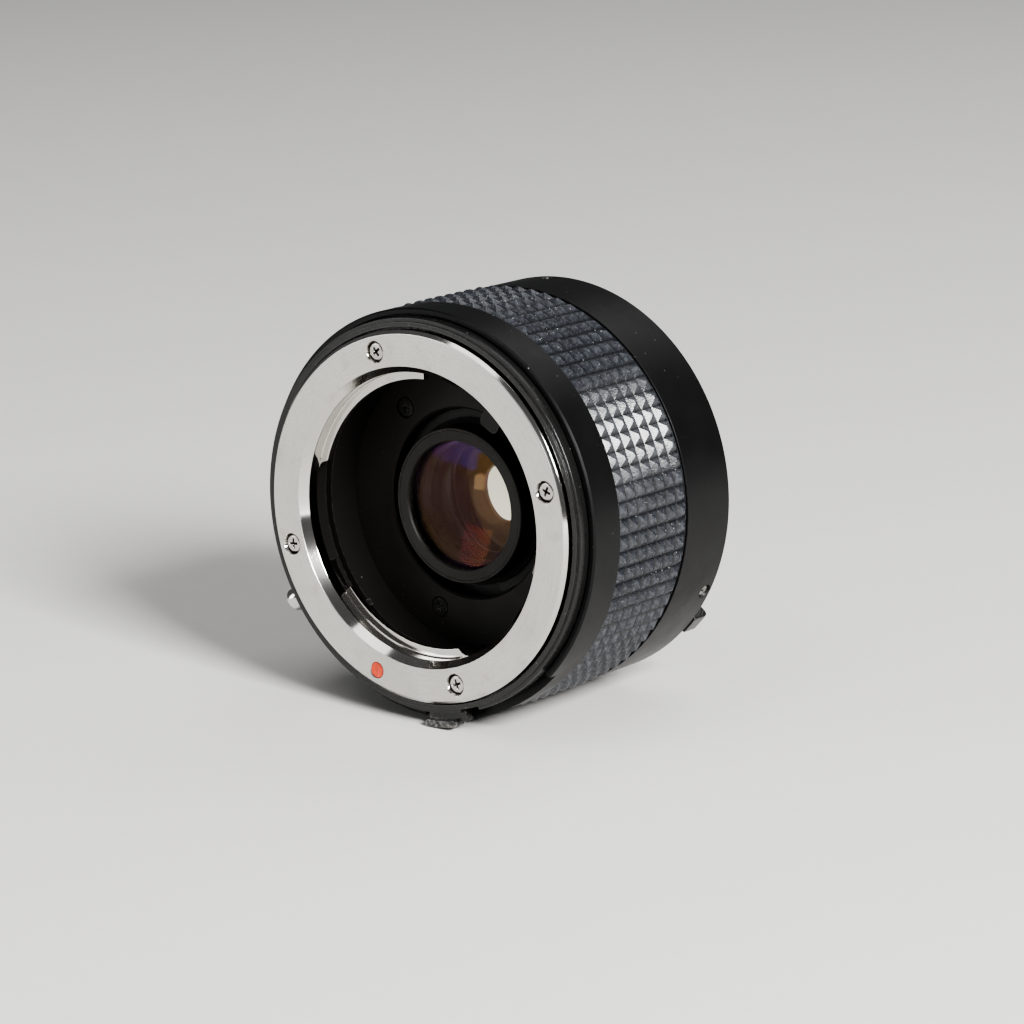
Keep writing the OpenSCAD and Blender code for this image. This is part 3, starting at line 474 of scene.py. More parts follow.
def make_brushed():
    """Short streaks round the axis: noise over the angle's cosine and sine and over the radius, which makes
    it long along each circle."""
    t, i, o = group("brushed", [("Length", 4.0), ("Scale", 4500.0)], [("Value", "NodeSocketFloat")])
    at, v = xyz(t, coordinates(t)), t.nodes.new("ShaderNodeCombineXYZ")
    r = axis_distance(t, at)
    turn = math_node(t, "DIVIDE", i.outputs["Length"], r)
    t.links.new(times(t, at["X"], turn), v.inputs[0])
    t.links.new(times(t, at["Z"], turn), v.inputs[1])
    t.links.new(times(t, r, i.outputs["Scale"]), v.inputs[2])
    t.links.new(noise(t, v.outputs[0], 1.0, 3.0, 0.6), o.inputs["Value"])
    return t


def make_dust():
    """Specks: small cells of a Voronoi pattern, of which a few are kept at random, more on faces that look
    up."""
    inputs = [("Scale", 1500.0), ("Share", 0.06), ("Size", 0.25)]
    t, i, o = group("dust", inputs, [("Mask", "NodeSocketFloat")])
    v = t.nodes.new("ShaderNodeTexVoronoi")
    t.links.new(coordinates(t), v.inputs["Vector"])
    t.links.new(i.outputs["Scale"], v.inputs["Scale"])
    s = t.nodes.new("ShaderNodeSeparateColor")
    t.links.new(v.outputs["Color"], s.inputs[0])
    kept = math_node(t, "LESS_THAN", s.outputs[0], i.outputs["Share"])
    size = times(t, i.outputs["Size"], math_node(t, "ADD", s.outputs[1], 0.35))
    dot = math_node(t, "LESS_THAN", v.outputs["Distance"], size)
    normal = xyz(t, t.nodes.new("ShaderNodeNewGeometry").outputs["Normal"])
    up = span(t, normal["Z"], -0.3, 0.6, 0.25, 1.0)
    t.links.new(times(t, times(t, kept, dot), up), o.inputs["Mask"])
    return t


def make_wear():
    """Rubbed edges: where the normal of a small rounding differs from the face's own, broken up by noise."""
    t, i, o = group("wear", [("Amount", 0.5)], [("Mask", "NodeSocketFloat")])
    b = t.nodes.new("ShaderNodeBevel")
    b.samples = 6
    b.inputs["Radius"].default_value = 0.00028
    d = t.nodes.new("ShaderNodeVectorMath")
    d.operation = "DOT_PRODUCT"
    t.links.new(b.outputs[0], d.inputs[0])
    t.links.new(t.nodes.new("ShaderNodeNewGeometry").outputs["True Normal"], d.inputs[1])
    edge = span(t, d.outputs["Value"], 0.99, 0.86)
    broken = span(t, noise(t, coordinates(t), 900.0, 4.0, 0.65), 0.42, 0.62)
    t.links.new(times(t, times(t, edge, broken), i.outputs["Amount"], clamp=True), o.inputs["Mask"])
    return t


GRAIN, SMUDGE, TURNING, BRUSHED = make_grain(), make_smudge(), make_turning(), make_brushed()
DUST, WEAR = make_dust(), make_wear()


# Materials

def material(name, colour, rough, metal=0.0, **sockets):
    """Principled material with its own constants; returns the material, its tree and its shader."""
    m = bpy.data.materials.new(name)
    m.use_nodes = True
    t = m.node_tree
    s = t.nodes["Principled BSDF"]
    s.inputs["Base Color"].default_value = (*colour, 1.0)
    s.inputs["Roughness"].default_value = rough
    s.inputs["Metallic"].default_value = metal
    for label, value in sockets.items():
        s.inputs[label.replace("_", " ")].default_value = value
    return m, t, s


def use(tree, kind, output, **values):
    """One of the shared groups in a material, and its output socket."""
    n = tree.nodes.new("ShaderNodeGroup")
    n.node_tree = kind
    for label, value in values.items():
        link(tree, value, n.inputs[label])
    return n.outputs[output]


def mix(tree, factor, a, b):
    """Colour a blended into colour b; each is a colour triple or a socket."""
    n = tree.nodes.new("ShaderNodeMix")
    n.data_type = "RGBA"
    link(tree, factor, n.inputs["Factor"])
    for socket, c in ((n.inputs[6], a), (n.inputs[7], b)):
        link(tree, c if isinstance(c, bpy.types.NodeSocket) else (*c, 1.0), socket)
    return n.outputs[2]


def painted_shade_mask(tree):
    """The painted shade mask that a piece's points carry, 1 in the bottom of holes and of the grip's valleys.
    """
    n = tree.nodes.new("ShaderNodeAttribute")
    n.attribute_name = "hollow"
    return n.outputs["Fac"]


def bump(tree, shader, height, distance):
    """Surface relief of a height in metres."""
    n = tree.nodes.new("ShaderNodeBump")
    tree.links.new(height, n.inputs["Height"])
    n.inputs["Distance"].default_value, n.inputs["Strength"].default_value = distance, 1.0
    tree.links.new(n.outputs[0], shader.inputs["Normal"])


def black_metal(name, colour, rough, grain, dust=0.04, wear=0.0, shine=0.3, foot=0.0, lathe=0.0):
    """Black finish over metal: grain in the surface, specks of dust, and bright metal where edges are rubbed,
    also as much as foot says at the part's lowest points. lathe is the height of turned lines next to the
    grain."""
    m, t, s = material(name, colour, rough, Specular_IOR_Level=shine)
    specks = use(t, DUST, "Mask", Scale=2600.0, Share=dust, Size=0.22)
    base = mix(t, specks, colour, (0.2, 0.19, 0.18))
    cloud = use(t, SMUDGE, "Value", Scale=120.0)
    dull = span(t, cloud, 0.0, 1.0, rough - 0.05, rough + 0.07)
    if wear:
        height = xyz(t, coordinates(t))["Z"]
        foot_top, foot_low = -0.0335, -0.0343
        amount = span(t, height, foot_top, foot_low, wear, max(foot, wear))
        rubbed = use(t, WEAR, "Mask", Amount=amount)
        base = mix(t, rubbed, base, (0.55, 0.52, 0.47))
        if foot:
            scuffs = span(t, noise(t, coordinates(t), 1500.0, 4.0, 0.65), 0.46, 0.62, 0.0, 0.7)
            base = mix(t, times(t, scuffs, span(t, height, foot_top, foot_low)), base, (0.26, 0.25, 0.24))
        t.links.new(rubbed, s.inputs["Metallic"])
    t.links.new(base, s.inputs["Base Color"])
    t.links.new(dull, s.inputs["Roughness"])
    relief = use(t, GRAIN, "Value", Scale=grain)
    if lathe:
        relief = math_node(t, "MULTIPLY_ADD", use(t, TURNING, "Value", Scale=2600.0), lathe, relief)
    bump(t, s, relief, 0.000012)
    return m


def bright_metal(name, colour, rough, turning=0.0, dust=0.02):
    """Plated or plain metal: lathe lines in the height and gloss, cloudy marks, specks, and painted shade in
    holes.
    """
    m, t, s = material(name, colour, rough, 1.0)
    lines = use(t, TURNING, "Value", Scale=7000.0)
    cloud = use(t, SMUDGE, "Value", Scale=75.0)
    gloss = math_node(t, "ADD", span(t, lines, 0.3, 0.7, rough - 0.04, rough + 0.05), times(t, cloud, 0.06))
    specks = use(t, DUST, "Mask", Scale=900.0, Share=dust, Size=0.16)
    tone = mix(t, cloud, colour, tuple(0.86 * c for c in colour))
    # Painted shade: the tone goes to near black where the hollow mask is 1, in screw crosses and
    # counterbores.
    shaded_tone = mix(t, painted_shade_mask(t), tone, (0.045, 0.041, 0.036))
    t.links.new(mix(t, specks, shaded_tone, (0.1, 0.09, 0.08)), s.inputs["Base Color"])
    t.links.new(gloss, s.inputs["Roughness"])
    if turning:
        bump(t, s, lines, turning)
    return m


def flange_chrome(name):
    """Satin chrome with brushed streaks on the flat flange face, and polished chrome on its bevel, wall and
    lugs."""
    m = bright_metal(name, (0.66, 0.64, 0.605), 0.27, 0.0000035)
    t = m.node_tree
    s = t.nodes["Principled BSDF"]
    gloss, tone = (s.inputs[label].links[0].from_socket for label in ("Roughness", "Base Color"))
    face_y, wall_y = 0.001 * (FRONT + 0.02), 0.001 * (FRONT + 0.2)
    inside = span(t, xyz(t, coordinates(t))["Y"], face_y, wall_y)
    streak = use(t, BRUSHED, "Value", Length=7.0, Scale=3800.0)
    rough = t.nodes.new("ShaderNodeMix")
    link(t, inside, rough.inputs["Factor"])
    link(t, math_node(t, "ADD", gloss, span(t, streak, 0.3, 0.7, -0.05, 0.06)), rough.inputs[2])
    link(t, span(t, use(t, SMUDGE, "Value", Scale=60.0), 0.0, 1.0, 0.09, 0.12), rough.inputs[3])
    t.links.new(rough.outputs[0], s.inputs["Roughness"])
    stain = span(t, noise(t, coordinates(t), 260.0, 5.0, 0.6), 0.56, 0.72, 0.0, 0.4)
    worn = mix(t, stain, tone, (0.4, 0.37, 0.33))
    face = math_node(t, "SUBTRACT", 1.0, inside)
    worn = mix(t, times(t, face, span(t, streak, 0.45, 0.7, 0.0, 0.4)), worn, (0.45, 0.43, 0.395))
    t.links.new(worn, s.inputs["Base Color"])
    return m


def rubber(name):
    """Dark blue-grey moulded rubber: pale bloom in patches, painted shade in the valleys, specks and a fine
    grain.
    """
    colour = (0.015, 0.0165, 0.0195)
    m, t, s = material(name, colour, 0.3)
    cloud = use(t, SMUDGE, "Value", Scale=160.0)
    grain = use(t, GRAIN, "Value", Scale=4400.0)
    bloom = times(t, span(t, grain, 0.47, 0.6), 0.7)
    tone = mix(t, bloom, mix(t, cloud, colour, (0.02, 0.022, 0.026)), (0.062, 0.066, 0.075))
    # Painted shade: near black in the pyramids' valleys, where the hollow mask is 1.
    tone = mix(t, painted_shade_mask(t), tone, (0.005, 0.0055, 0.0065))
    specks = use(t, DUST, "Mask", Scale=3200.0, Share=0.05, Size=0.3)
    t.links.new(mix(t, specks, tone, (0.24, 0.24, 0.24)), s.inputs["Base Color"])
    t.links.new(span(t, cloud, 0.0, 1.0, 0.2, 0.32), s.inputs["Roughness"])
    bump(t, s, grain, 0.00006)
    return m


def paint(name, colour):
    """Paint with a cloudy tone and a coarse grain."""
    m, t, s = material(name, colour, 0.42)
    cloud = use(t, SMUDGE, "Value", Scale=700.0)
    t.links.new(mix(t, cloud, colour, tuple(0.6 * c for c in colour)), s.inputs["Base Color"])
    bump(t, s, use(t, GRAIN, "Value", Scale=3000.0), 0.00002)
    return m


def coated_glass(name, film, tint):
    """Clear glass under a thin film, whose reflections take the film's colour, with a few specks of dust."""
    m, t, s = material(name, (1.0, 1.0, 1.0), 0.0, Transmission_Weight=1.0, IOR=1.6,
                       Thin_Film_Thickness=film, Thin_Film_IOR=1.265)
    specks = use(t, DUST, "Mask", Scale=700.0, Share=0.05, Size=0.1)
    t.links.new(mix(t, specks, tint, (0.75, 0.75, 0.75)), s.inputs["Base Color"])
    t.links.new(times(t, specks, 0.5), s.inputs["Roughness"])
    return m


def paper(name):
    """Plain pale paper for the floor."""
    m, t, s = material(name, (0.69, 0.68, 0.66), 0.85)
    grain = use(t, GRAIN, "Value", Scale=900.0)
    t.links.new(mix(t, grain, (0.66, 0.65, 0.63), (0.71, 0.7, 0.68)), s.inputs["Base Color"])
    return m


MAT = {
    "front_chrome": flange_chrome("front_chrome"),
    "rear_chrome": bright_metal("rear_chrome", (0.66, 0.64, 0.605), 0.25, turning=0.000003),
    "flange_screws": bright_metal("flange_screws", (0.6, 0.58, 0.55), 0.16),
    "index_red": paint("index_red", (0.72, 0.07, 0.025)),
    "spring_steel": bright_metal("spring_steel", (0.56, 0.54, 0.5), 0.3),
    "coupling_black": black_metal("coupling_black", (0.0085, 0.0082, 0.008), 0.27, grain=2500.0, dust=0.03,
                                  wear=0.05, shine=0.5, foot=0.9, lathe=3.0),
    "barrel_black": black_metal("barrel_black", (0.0035, 0.0034, 0.0035), 0.38, grain=3800.0, dust=0.008,
                                wear=0.06, shine=0.2),
    "set_screws": bright_metal("set_screws", (0.34, 0.33, 0.31), 0.3),
    "grip_rubber": rubber("grip_rubber"),
    "inside_black": black_metal("inside_black", (0.006, 0.0055, 0.005), 0.62, grain=5200.0, dust=0.005,
                                wear=0.06, shine=0.12),
    "baffle_black": black_metal("baffle_black", (0.009, 0.0078, 0.0066), 0.55, grain=3600.0, dust=0.015,
                                shine=0.25),
    "baffle_screws": black_metal("baffle_screws", (0.008, 0.0077, 0.0072), 0.36, grain=2600.0, dust=0.02,
                                 wear=0.2),
    "linkage_steel": bright_metal("linkage_steel", (0.5, 0.48, 0.45), 0.32),
    "lever_black": black_metal("lever_black", (0.007, 0.0067, 0.0063), 0.4, grain=3000.0, dust=0.02,
                               wear=0.2, shine=0.25),
    "cell_black": black_metal("cell_black", (0.0095, 0.0082, 0.007), 0.48, grain=5200.0, dust=0.01,
                              wear=0.05),
    "coated_glass": coated_glass("coated_glass", 128.0, (1.0, 0.985, 0.95)),
    "inner_glass": coated_glass("inner_glass", 112.0, (1.0, 0.98, 0.93)),
    "button_chrome": bright_metal("button_chrome", (0.66, 0.64, 0.6), 0.12),
}
for part in frame["record"]["subparts"]:
    mesh = nodes[part["node"]].data
    mesh.materials.clear()
    mesh.materials.append(MAT[part["material_slot"]])


# Pieces

def front_flange():
    """Bayonet socket: a turned plate with a bevelled throat, screw hollows sunk in its face, and three lugs.
    A lug's inner radius rises at one end along a circle, r = throat + sqrt(h*h - t*t)."""
    bevel_r, bevel_y = 25.15, 1.5
    rim_r, chamfer = 31.05, 0.6
    spigot_r, plate_t, depth = 26.0, 2.4, 3.6
    outline = fill_long(rounded(
        [(SOCKET_R, bevel_y), (bevel_r, 0.0), (rim_r - chamfer, 0.0), (rim_r, chamfer), (rim_r, plate_t),
         (spigot_r, plate_t), (spigot_r, depth), (SOCKET_R, depth)],
        [0.2, 0.1, 0.15, 0.15, 0.05, 0.05, 0.05, 0.1]), 0.13)
    screw_sink = holes([(SCREW_R, a) for a in FRONT_SCREWS], HEAD_HOLE_R, HEAD_HOLE)
    dot_sink = holes([(FRONT_DOT_R, FRONT_DOT_ANGLE)], DOT_HOLE_R, DOT_HOLE)

    def sink(r, a, y):
        on_face = (y < 0.004) & (r > bevel_r + 0.05)
        return r, y + np.where(on_face, np.maximum(screw_sink(r, a), dot_sink(r, a)), 0.0)

    parts = [turned(outline, around(*FRONT_SCREWS, FRONT_DOT_ANGLE, base=300), sink)]
    throat_r, lug_y, lug_end, fillet_r = 22.5, depth - 0.02, 4.8, 1.5
    hollow_r = 0.3
    t = np.radians(np.linspace(0.0, 90.0, 7))
    arc = np.stack([SOCKET_R - hollow_r + hollow_r * np.cos(t), depth - hollow_r + hollow_r * np.sin(t)], -1)
    corner = np.concatenate([arc, [[SOCKET_R - hollow_r, depth + 0.2], [SOCKET_R + 0.2, depth + 0.2],
                                   [SOCKET_R + 0.2, depth - hollow_r]]])
    reach = np.degrees(fillet_r / throat_r)
    for a, b in ((92.3, 165.1), (221.3, 286.6), (343.0, 396.0)):

        def fillet(r, t, end=b + reach):
            gap = np.radians(np.clip(end - t, 0.0, reach)) * throat_r
            rise = np.sqrt(np.maximum(fillet_r**2 - gap**2, 0.0))
            return spigot_r - (spigot_r - r) * (spigot_r - throat_r - rise) / (spigot_r - throat_r)

        parts.append(arc_block(throat_r, spigot_r, lug_y, lug_end, a, b + reach, 0.07, fillet))
        parts.append(swept(corner, np.linspace(a + 0.1, b, 60)))
    p = np.concatenate([part[0] for part in parts]) * 1000
    r, angle, y = np.hypot(p[:, 0], p[:, 2]), np.degrees(np.arctan2(p[:, 2], p[:, 0])), p[:, 1] - FRONT
    # Painted shade mask: rises with the depth of the screw counterbores, in their walls and floors.
    in_hole = (r > spigot_r - 0.5) & (y < plate_t - 0.4)
    dark_from = 0.45
    dark = np.clip((screw_sink(r, angle) - dark_from) / (HEAD_HOLE - dark_from), 0.0, 1.0)
    add("front_flange", parts, "barrel", "front_chrome", ["front_mount_ring"], np.where(in_hole, dark, 0.0))


def screws():
    """Cross-head screws of both flanges and of the rear band, each turned its own way."""
    turns = (53.0, 24.0, 78.0, 95.0)

    def heads(name, node, slot, angles, way, r, y, size, t):
        made = [cross_screw(size, t, turn) for turn in turns[:len(angles)]]
        parts = [(stand(p, a, r, y, way), f) for (p, f, _), a in zip(made, angles)]
        add(name, parts, "barrel", slot, [node], np.concatenate([hollow for _, _, hollow in made]))

    heads("front_screw_heads", "front_mount_screws", "flange_screws", FRONT_SCREWS, "front", SCREW_R,
          HEAD_SINK, HEAD_R, HEAD_T)
    heads("rear_screw_heads", "rear_mount_screws", "flange_screws", REAR_SCREWS, "rear", REAR_SCREW_R,
          REAR_FACE - HEAD_SINK, HEAD_R, HEAD_T)
    heads("set_screw_heads", "barrel_set_screws", "set_screws", SET_SCREWS, "out", BARREL_R - SET_SINK,
          SET_Y, SET_HEAD_R, SET_HEAD_T)


def index_dots():
    """Paint drops in their hollows, a little lower in the middle: h = k*(rho/r)^2."""
    rho = np.linspace(0.0, DOT_R, 14)
    dish, front_sink, wall_sink = 0.1, 0.13, 0.1
    top = np.stack([rho, dish * (rho / DOT_R)**2 - dish], -1)
    p, f = spun(np.concatenate([top, [[DOT_R, -DOT_T], [0.0, -DOT_T]]]))
    front = stand(p, FRONT_DOT_ANGLE, FRONT_DOT_R, front_sink, "front")
    rear = stand(p, REAR_DOT_ANGLE, BARREL_R - wall_sink, REAR_DOT_Y, "out")
    add("front_dot", [(front, f)], "barrel", "index_red", ["front_index_dot"])
    add("rear_dot", [(rear, f)], "barrel", "index_red", ["rear_index_dot"])


def coupling_ring():
    """Turning ring around the flange: a stepped rim with a notch, and a tab bent out of it with a forward
    foot."""
    flange_r, bore_r, step_r, ring_r = 31.35, 29.7, 32.28, 32.9
    rim, step_y, web, end = 1.2, 1.6, 2.7, 4.2
    notch_from, notch_to = -75.5, -68.5
    outline = rounded(
        [(bore_r, web), (flange_r, web), (flange_r, rim), (step_r, rim), (step_r, step_y), (ring_r, step_y),
         (ring_r, end), (bore_r, end)],
        [0.05, 0.05, 0.12, 0.1, 0.06, 0.12, 0.1, 0.05])

    def notch(r, a, y):
        turn = half_turn(a)
        inside = smooth(notch_from, notch_from + 0.1, turn) * (1 - smooth(notch_to - 0.1, notch_to, turn))
        return np.where(r > step_r, r - (r - step_r) * inside, r), y

    tab_from, tab_to, foot_to = -88.0, -74.5, -78.0
    tab_r, tab_y, tab_end, foot_in, foot_y = 34.45, 2.1, 3.8, 33.95, 0.9
    parts = [turned(outline, around(notch_from, notch_to, half=0.6, step=0.06), notch),
             arc_block(step_r + 0.02, tab_r, tab_y, tab_end, tab_from, tab_to, 0.18),
             arc_block(foot_in, FOOT_R, foot_y, tab_end, tab_from, foot_to, 0.25)]
    add("coupling_ring", parts, "meter_coupling", "coupling_black", ["meter_ring"])


def rear_coupling():
    """Rear ring and the lug that reaches behind the barrel, with a round rear corner and small bevels at its
    ends."""
    ring_in, ring_out, ring_y, ring_end = 30.2, 31.4, 39.0, 41.4
    ring = rounded([(ring_in, ring_y), (ring_out, ring_y), (ring_out, ring_end), (ring_in, ring_end)], 0.12)
    lug_in, lug_out, lug_y, lug_end = 30.3, BARREL_R + 0.15, BAND_END + 0.3, 44.85
    lug = rounded([(lug_in, lug_y), (lug_out, lug_y), (lug_out, lug_end), (lug_in, lug_end)],
                  [0.1, 0.15, 1.0, 0.15], 8)
    a, b, bevel, full = -43.9, -37.8, 0.06, 0.22
    turn = np.concatenate([[a, a, a + bevel], np.linspace(a + full, b - full, 12), [b - bevel, b, b]])
    shrunk = np.array([0.8, 0.94, 0.975])
    size = np.concatenate([shrunk, np.ones(12), shrunk[::-1]])
    add("rear_coupling", [turned(ring, around()), swept(lug, turn, size)], "meter_coupling", "coupling_black",
        ["rear_meter_ring"])


def barrel_front():
    """Outer tube with the smooth front band: its rim steps back along the tab's recess, and the button has a
    hole, behind which the lip inside the rim is cut back."""
    rim, rim_r, chamfer = 3.4, 33.95, 0.3
    lip_r, lip_end, ring_r, ring_end = 33.2, 4.5, 32.45, 7.7
    tube_r, bore_r = 33.0, 31.9
    outline = rounded(
        [(lip_r, rim), (rim_r, rim), (BARREL_R, rim + chamfer), (BARREL_R, GRIP_FROM), (tube_r, GRIP_FROM),
         (tube_r, SHELL_END), (bore_r, SHELL_END), (bore_r, ring_end), (ring_r, ring_end), (ring_r, lip_end),
         (lip_r, lip_end)],
        [0.12, 0.12, 0.12, 0.1, 0.05, 0.05, 0.05, 0.05, 0.05, 0.05, 0.05])
    fine = 0.12
    outline = after_corner(outline, 3, 11, line(BARREL_R, np.arange(rim + 0.44, BUTTON_Y + 2.5, fine)))
    outline = np.concatenate([outline, line(lip_r, np.arange(lip_end - 0.1, rim + 0.1, -fine))])
    hole = wall_holes([(BUTTON_ANGLE, BUTTON_Y)], BUTTON_R + 0.3)
    hole_depth = 1.4
    recess_from, recess_to, recess_y, share = -91.0, -43.0, 5.4, 0.97

    def change(r, a, y):
        turn = half_turn(a)
        recess = smooth(recess_from - 0.05, recess_from + 0.05, turn)
        recess = recess * (1 - smooth(recess_to - 0.05, recess_to + 0.05, turn))
        y = np.where(y < recess_y, y + (recess_y - y) * share * recess, y)
        open_ = hole(a, y)
        inner = np.where(r > ring_r + 0.15, r - (r - ring_r + 0.05) * open_, r)
        return np.where(r > lip_r + 0.3, r - hole_depth * open_, inner), y

    angles = np.unique(np.concatenate([around(recess_from, recess_to, half=0.5, step=0.05),
                                       around(BUTTON_ANGLE, half=4.6)]))
    add("barrel_front", [turned(fill_long(outline, 2.5), angles, change)], "barrel", "barrel_black",
        ["barrel_shell"])


def barrel_rear():
    """Smooth rear band with its end wall, small hollows for the set screws and one for the index dot."""
    wall_r, bore_r, chamfer = 31.7, 33.05, 0.35
    outline = rounded(
        [(bore_r, GRIP_TO), (BARREL_R, GRIP_TO), (BARREL_R, BAND_END - chamfer),
         (BARREL_R - chamfer, BAND_END), (wall_r, BAND_END), (wall_r, SHELL_END), (bore_r, SHELL_END)],
        [0.05, 0.12, 0.12, 0.12, 0.08, 0.05, 0.05])
    dot_rows, screw_rows = np.arange(32.2, 35.2, 0.11), np.arange(37.1, 40.1, 0.1)
    rows_before, rows_between = np.arange(29.2, 32.1, 0.4), np.arange(35.4, 37.0, 0.4)
    rows = np.concatenate([rows_before, dot_rows, rows_between, screw_rows])
    outline = after_corner(outline, 2, 7, line(BARREL_R, rows))
    screw = wall_holes([(a, SET_Y) for a in SET_SCREWS], SET_HOLE_R)
    dot = wall_holes([(REAR_DOT_ANGLE, REAR_DOT_Y)], DOT_HOLE_R)

    def change(r, a, y):
        return np.where(r > 33.6, r - np.maximum(SET_HOLE * screw(a, y), DOT_HOLE * dot(a, y)), r), y

    angles = around(*SET_SCREWS, REAR_DOT_ANGLE, half=3.0, step=0.15)
    add("barrel_rear", [turned(outline, angles, change)], "barrel", "barrel_black", ["rear_barrel"])


def grip():
    """Rubber sleeve: a grid of four-sided pyramids between two narrow lips. In each cell the height falls
    with max(|u|, |v|) from its middle, each tip has a small flat, and no two pyramids are quite alike."""
    rows, columns, k = 7, 78, 10
    lip, base, high, bore = 33.85, 33.75, 0.9, 33.06
    margin = 0.15
    pitch = (GRIP_TO - GRIP_FROM - 2 * margin) / rows
    v = np.tile(np.linspace(-1, 1, k, endpoint=False), columns)
    u = np.append(np.tile(np.linspace(-1, 1, k, endpoint=False), rows), -1.0)
    m = np.maximum(np.abs(u)[:, None], np.abs(v)[None])
    row = np.minimum(np.arange(rows * k + 1) // k, rows - 1)[:, None]
    column = (np.arange(columns * k) // k)[None]
    # The fraction of a large sine of the cell's place gives each pyramid its own height
    odd = np.sin(row * 12.9898 + column * 78.233) * 43758.5453
    tall = 0.96 + 0.05 * (odd - np.floor(odd))
    h = high * tall * np.minimum(1.0 - m, 0.93)
    a = np.arange(columns * k) * 360.0 / (columns * k)
    y = GRIP_FROM + margin + pitch * np.arange(rows * k + 1) / k
    edge = np.array([(bore, GRIP_FROM + 0.02), (lip - 0.04, GRIP_FROM + 0.02), (lip, GRIP_FROM + 0.05),
                     (lip, GRIP_FROM + 0.11)])
    back = np.stack([edge[:, 0], GRIP_FROM + GRIP_TO - edge[:, 1]], -1)[::-1]
    r = np.concatenate([np.repeat(edge[:, :1], len(a), 1), base + h, np.repeat(back[:, :1], len(a), 1)])
    depth = np.concatenate([edge[:, 1], y, back[:, 1]])[:, None]
    q = quads(len(r), len(a), True, True)
    i, j = q[:, 0] // len(a) - len(edge), q[:, 0] % len(a)
    same = ((i % k < k // 2) == (j % k < k // 2))[:, None]
    one = np.where(same, q[:, [0, 1, 2]], q[:, [1, 2, 3]])
    two = np.where(same, q[:, [0, 2, 3]], q[:, [1, 3, 0]])
    surface = polar(r, a[None], depth).reshape(-1, 3), [np.concatenate([one, two])]
    none = np.zeros((len(edge), len(a)))
    # Painted shade mask: rises towards the valleys between pyramids, none on the lips.
    valley_shade = np.concatenate([none, smooth(0.6, 1.0, m), none]).reshape(-1)
    add("grip_rubber", [surface], "barrel", "grip_rubber", ["grip_sleeve"], valley_shade, flat=True)


def optics():
    """Lens cell and retaining ring, turned, a spacer with fine grooves in its bore, and the four glasses,
    each a solid of revolution in a black coat on its ground rim."""
    c = CLEAR_R
    front, first, first_end, second, second_end = 11.4, 12.05, 14.05, 15.25, 20.25
    third, third_end, rear, rear_end, end = 21.25, 23.65, 30.0, 33.0, 35.0
    bore_r, rear_bore_r, web_r, thread_r, bevel = 12.15, 12.75, 10.6, 12.65, 0.15
    tube_r, rear_tube_r, flange_r, flange_y, flange_end = 13.15, 14.15, 17.8, 21.5, 23.0
    cell = rounded(
        [(thread_r, front), (tube_r - bevel, front), (tube_r, front + bevel), (tube_r, flange_y),
         (flange_r, flange_y), (flange_r, flange_end), (rear_tube_r, flange_end), (rear_tube_r, end),
         (rear_bore_r, end), (rear_bore_r, third), (web_r, third), (web_r, second_end), (bore_r, second_end),
         (bore_r, first), (thread_r, first)], 0.06)

    spacer_r, groove_in, groove_out, grooves = rear_bore_r - 0.15, 11.4, 11.75, 12
    spacer_in, spacer_y, spacer_end = groove_in + 0.05, third_end + 0.02, rear - 0.02
    edge = np.linspace(third_end + 0.1, rear - 0.1, grooves + 1)
    teeth = np.stack([np.tile([groove_in, groove_out], grooves),
                      np.stack([edge[:-1], edge[1:] - 0.04], -1).reshape(-1)], -1)
    spacer = np.concatenate([[[spacer_r, spacer_end], [spacer_r, spacer_y], [spacer_in, spacer_y]], teeth,
                             [[spacer_in, spacer_end]]])
    add("spacer_grooved", [turned(spacer, around(base=160))], "barrel", "inside_black", ["rear_lens_spacer"],
        flat=True)

    ring_r, ring_y = thread_r - 0.05, front + 0.05
    ring = rounded([(c + 0.2, ring_y), (ring_r, ring_y), (ring_r, first), (c, first), (c, ring_y + 0.3)],
                   0.05)
    add("retaining_ring_turned", [turned(ring, around())], "barrel", "cell_black", ["front_retaining_ring"])

    coats = []
    glass_r, rear_glass_r = bore_r - 0.1, rear_bore_r - 0.1
    for node, slot, r, y, y_end, seat, bends in (
            ("front_lens", "coated_glass", glass_r, first, first_end, c, (5.0, -8.5)),
            ("second_lens", "inner_glass", glass_r, second, second_end, c - 0.2, (-3.0, -2.8)),
            ("third_lens", "inner_glass", rear_glass_r, third, third_end, c - 0.2, (5.0, 5.0)),
            ("rear_lens", "coated_glass", rear_glass_r, rear, rear_end, 0.58 * c, (-4.7, 3.8))):
        p, f = spun(lens_outline(r, y, y_end, seat, np.multiply(bends, c)), 160)
        add(node + "_glass", [(stand(p, 0.0, 0.0, 0.0, "front"), f)], "barrel", slot, [node])
        coat_r, coat_in, coat_y, coat_end = r + 0.02, seat + 0.06, y - 0.02, y_end + 0.02
        coat = [(coat_in, coat_y), (coat_r, coat_y), (coat_r, coat_end), (coat_in, coat_end)]
        coats.append(turned(coat, around(base=200)))
    add("lens_cell_turned", [turned(cell, around())] + coats, "barrel", "cell_black", ["lens_cell"])


def button():
    """Release button: a short cylinder whose top falls with the square of the radius, with a rounded rim."""
    t = np.linspace(0.0, 1.0, 18)
    high, dome, rim = 3.5, 0.5, 0.35
    flat_r, shoulder = BUTTON_R - rim, high - dome - rim
    top = np.stack([flat_r * t, high - dome * t**2], -1)
    edge = np.stack([flat_r + rim * np.sin(t * np.pi / 2), shoulder + rim * np.cos(t * np.pi / 2)], -1)
    p, f = spun(np.concatenate([top, edge, [[BUTTON_R, 0.1], [BUTTON_R - 0.1, 0.0], [0.0, 0.0]]]))
    cap = stand(p, BUTTON_ANGLE, BARREL_R + 0.05, BUTTON_Y, "out")
    add("button_cap", [(cap, f)], "release", "button_chrome", ["release_button"])


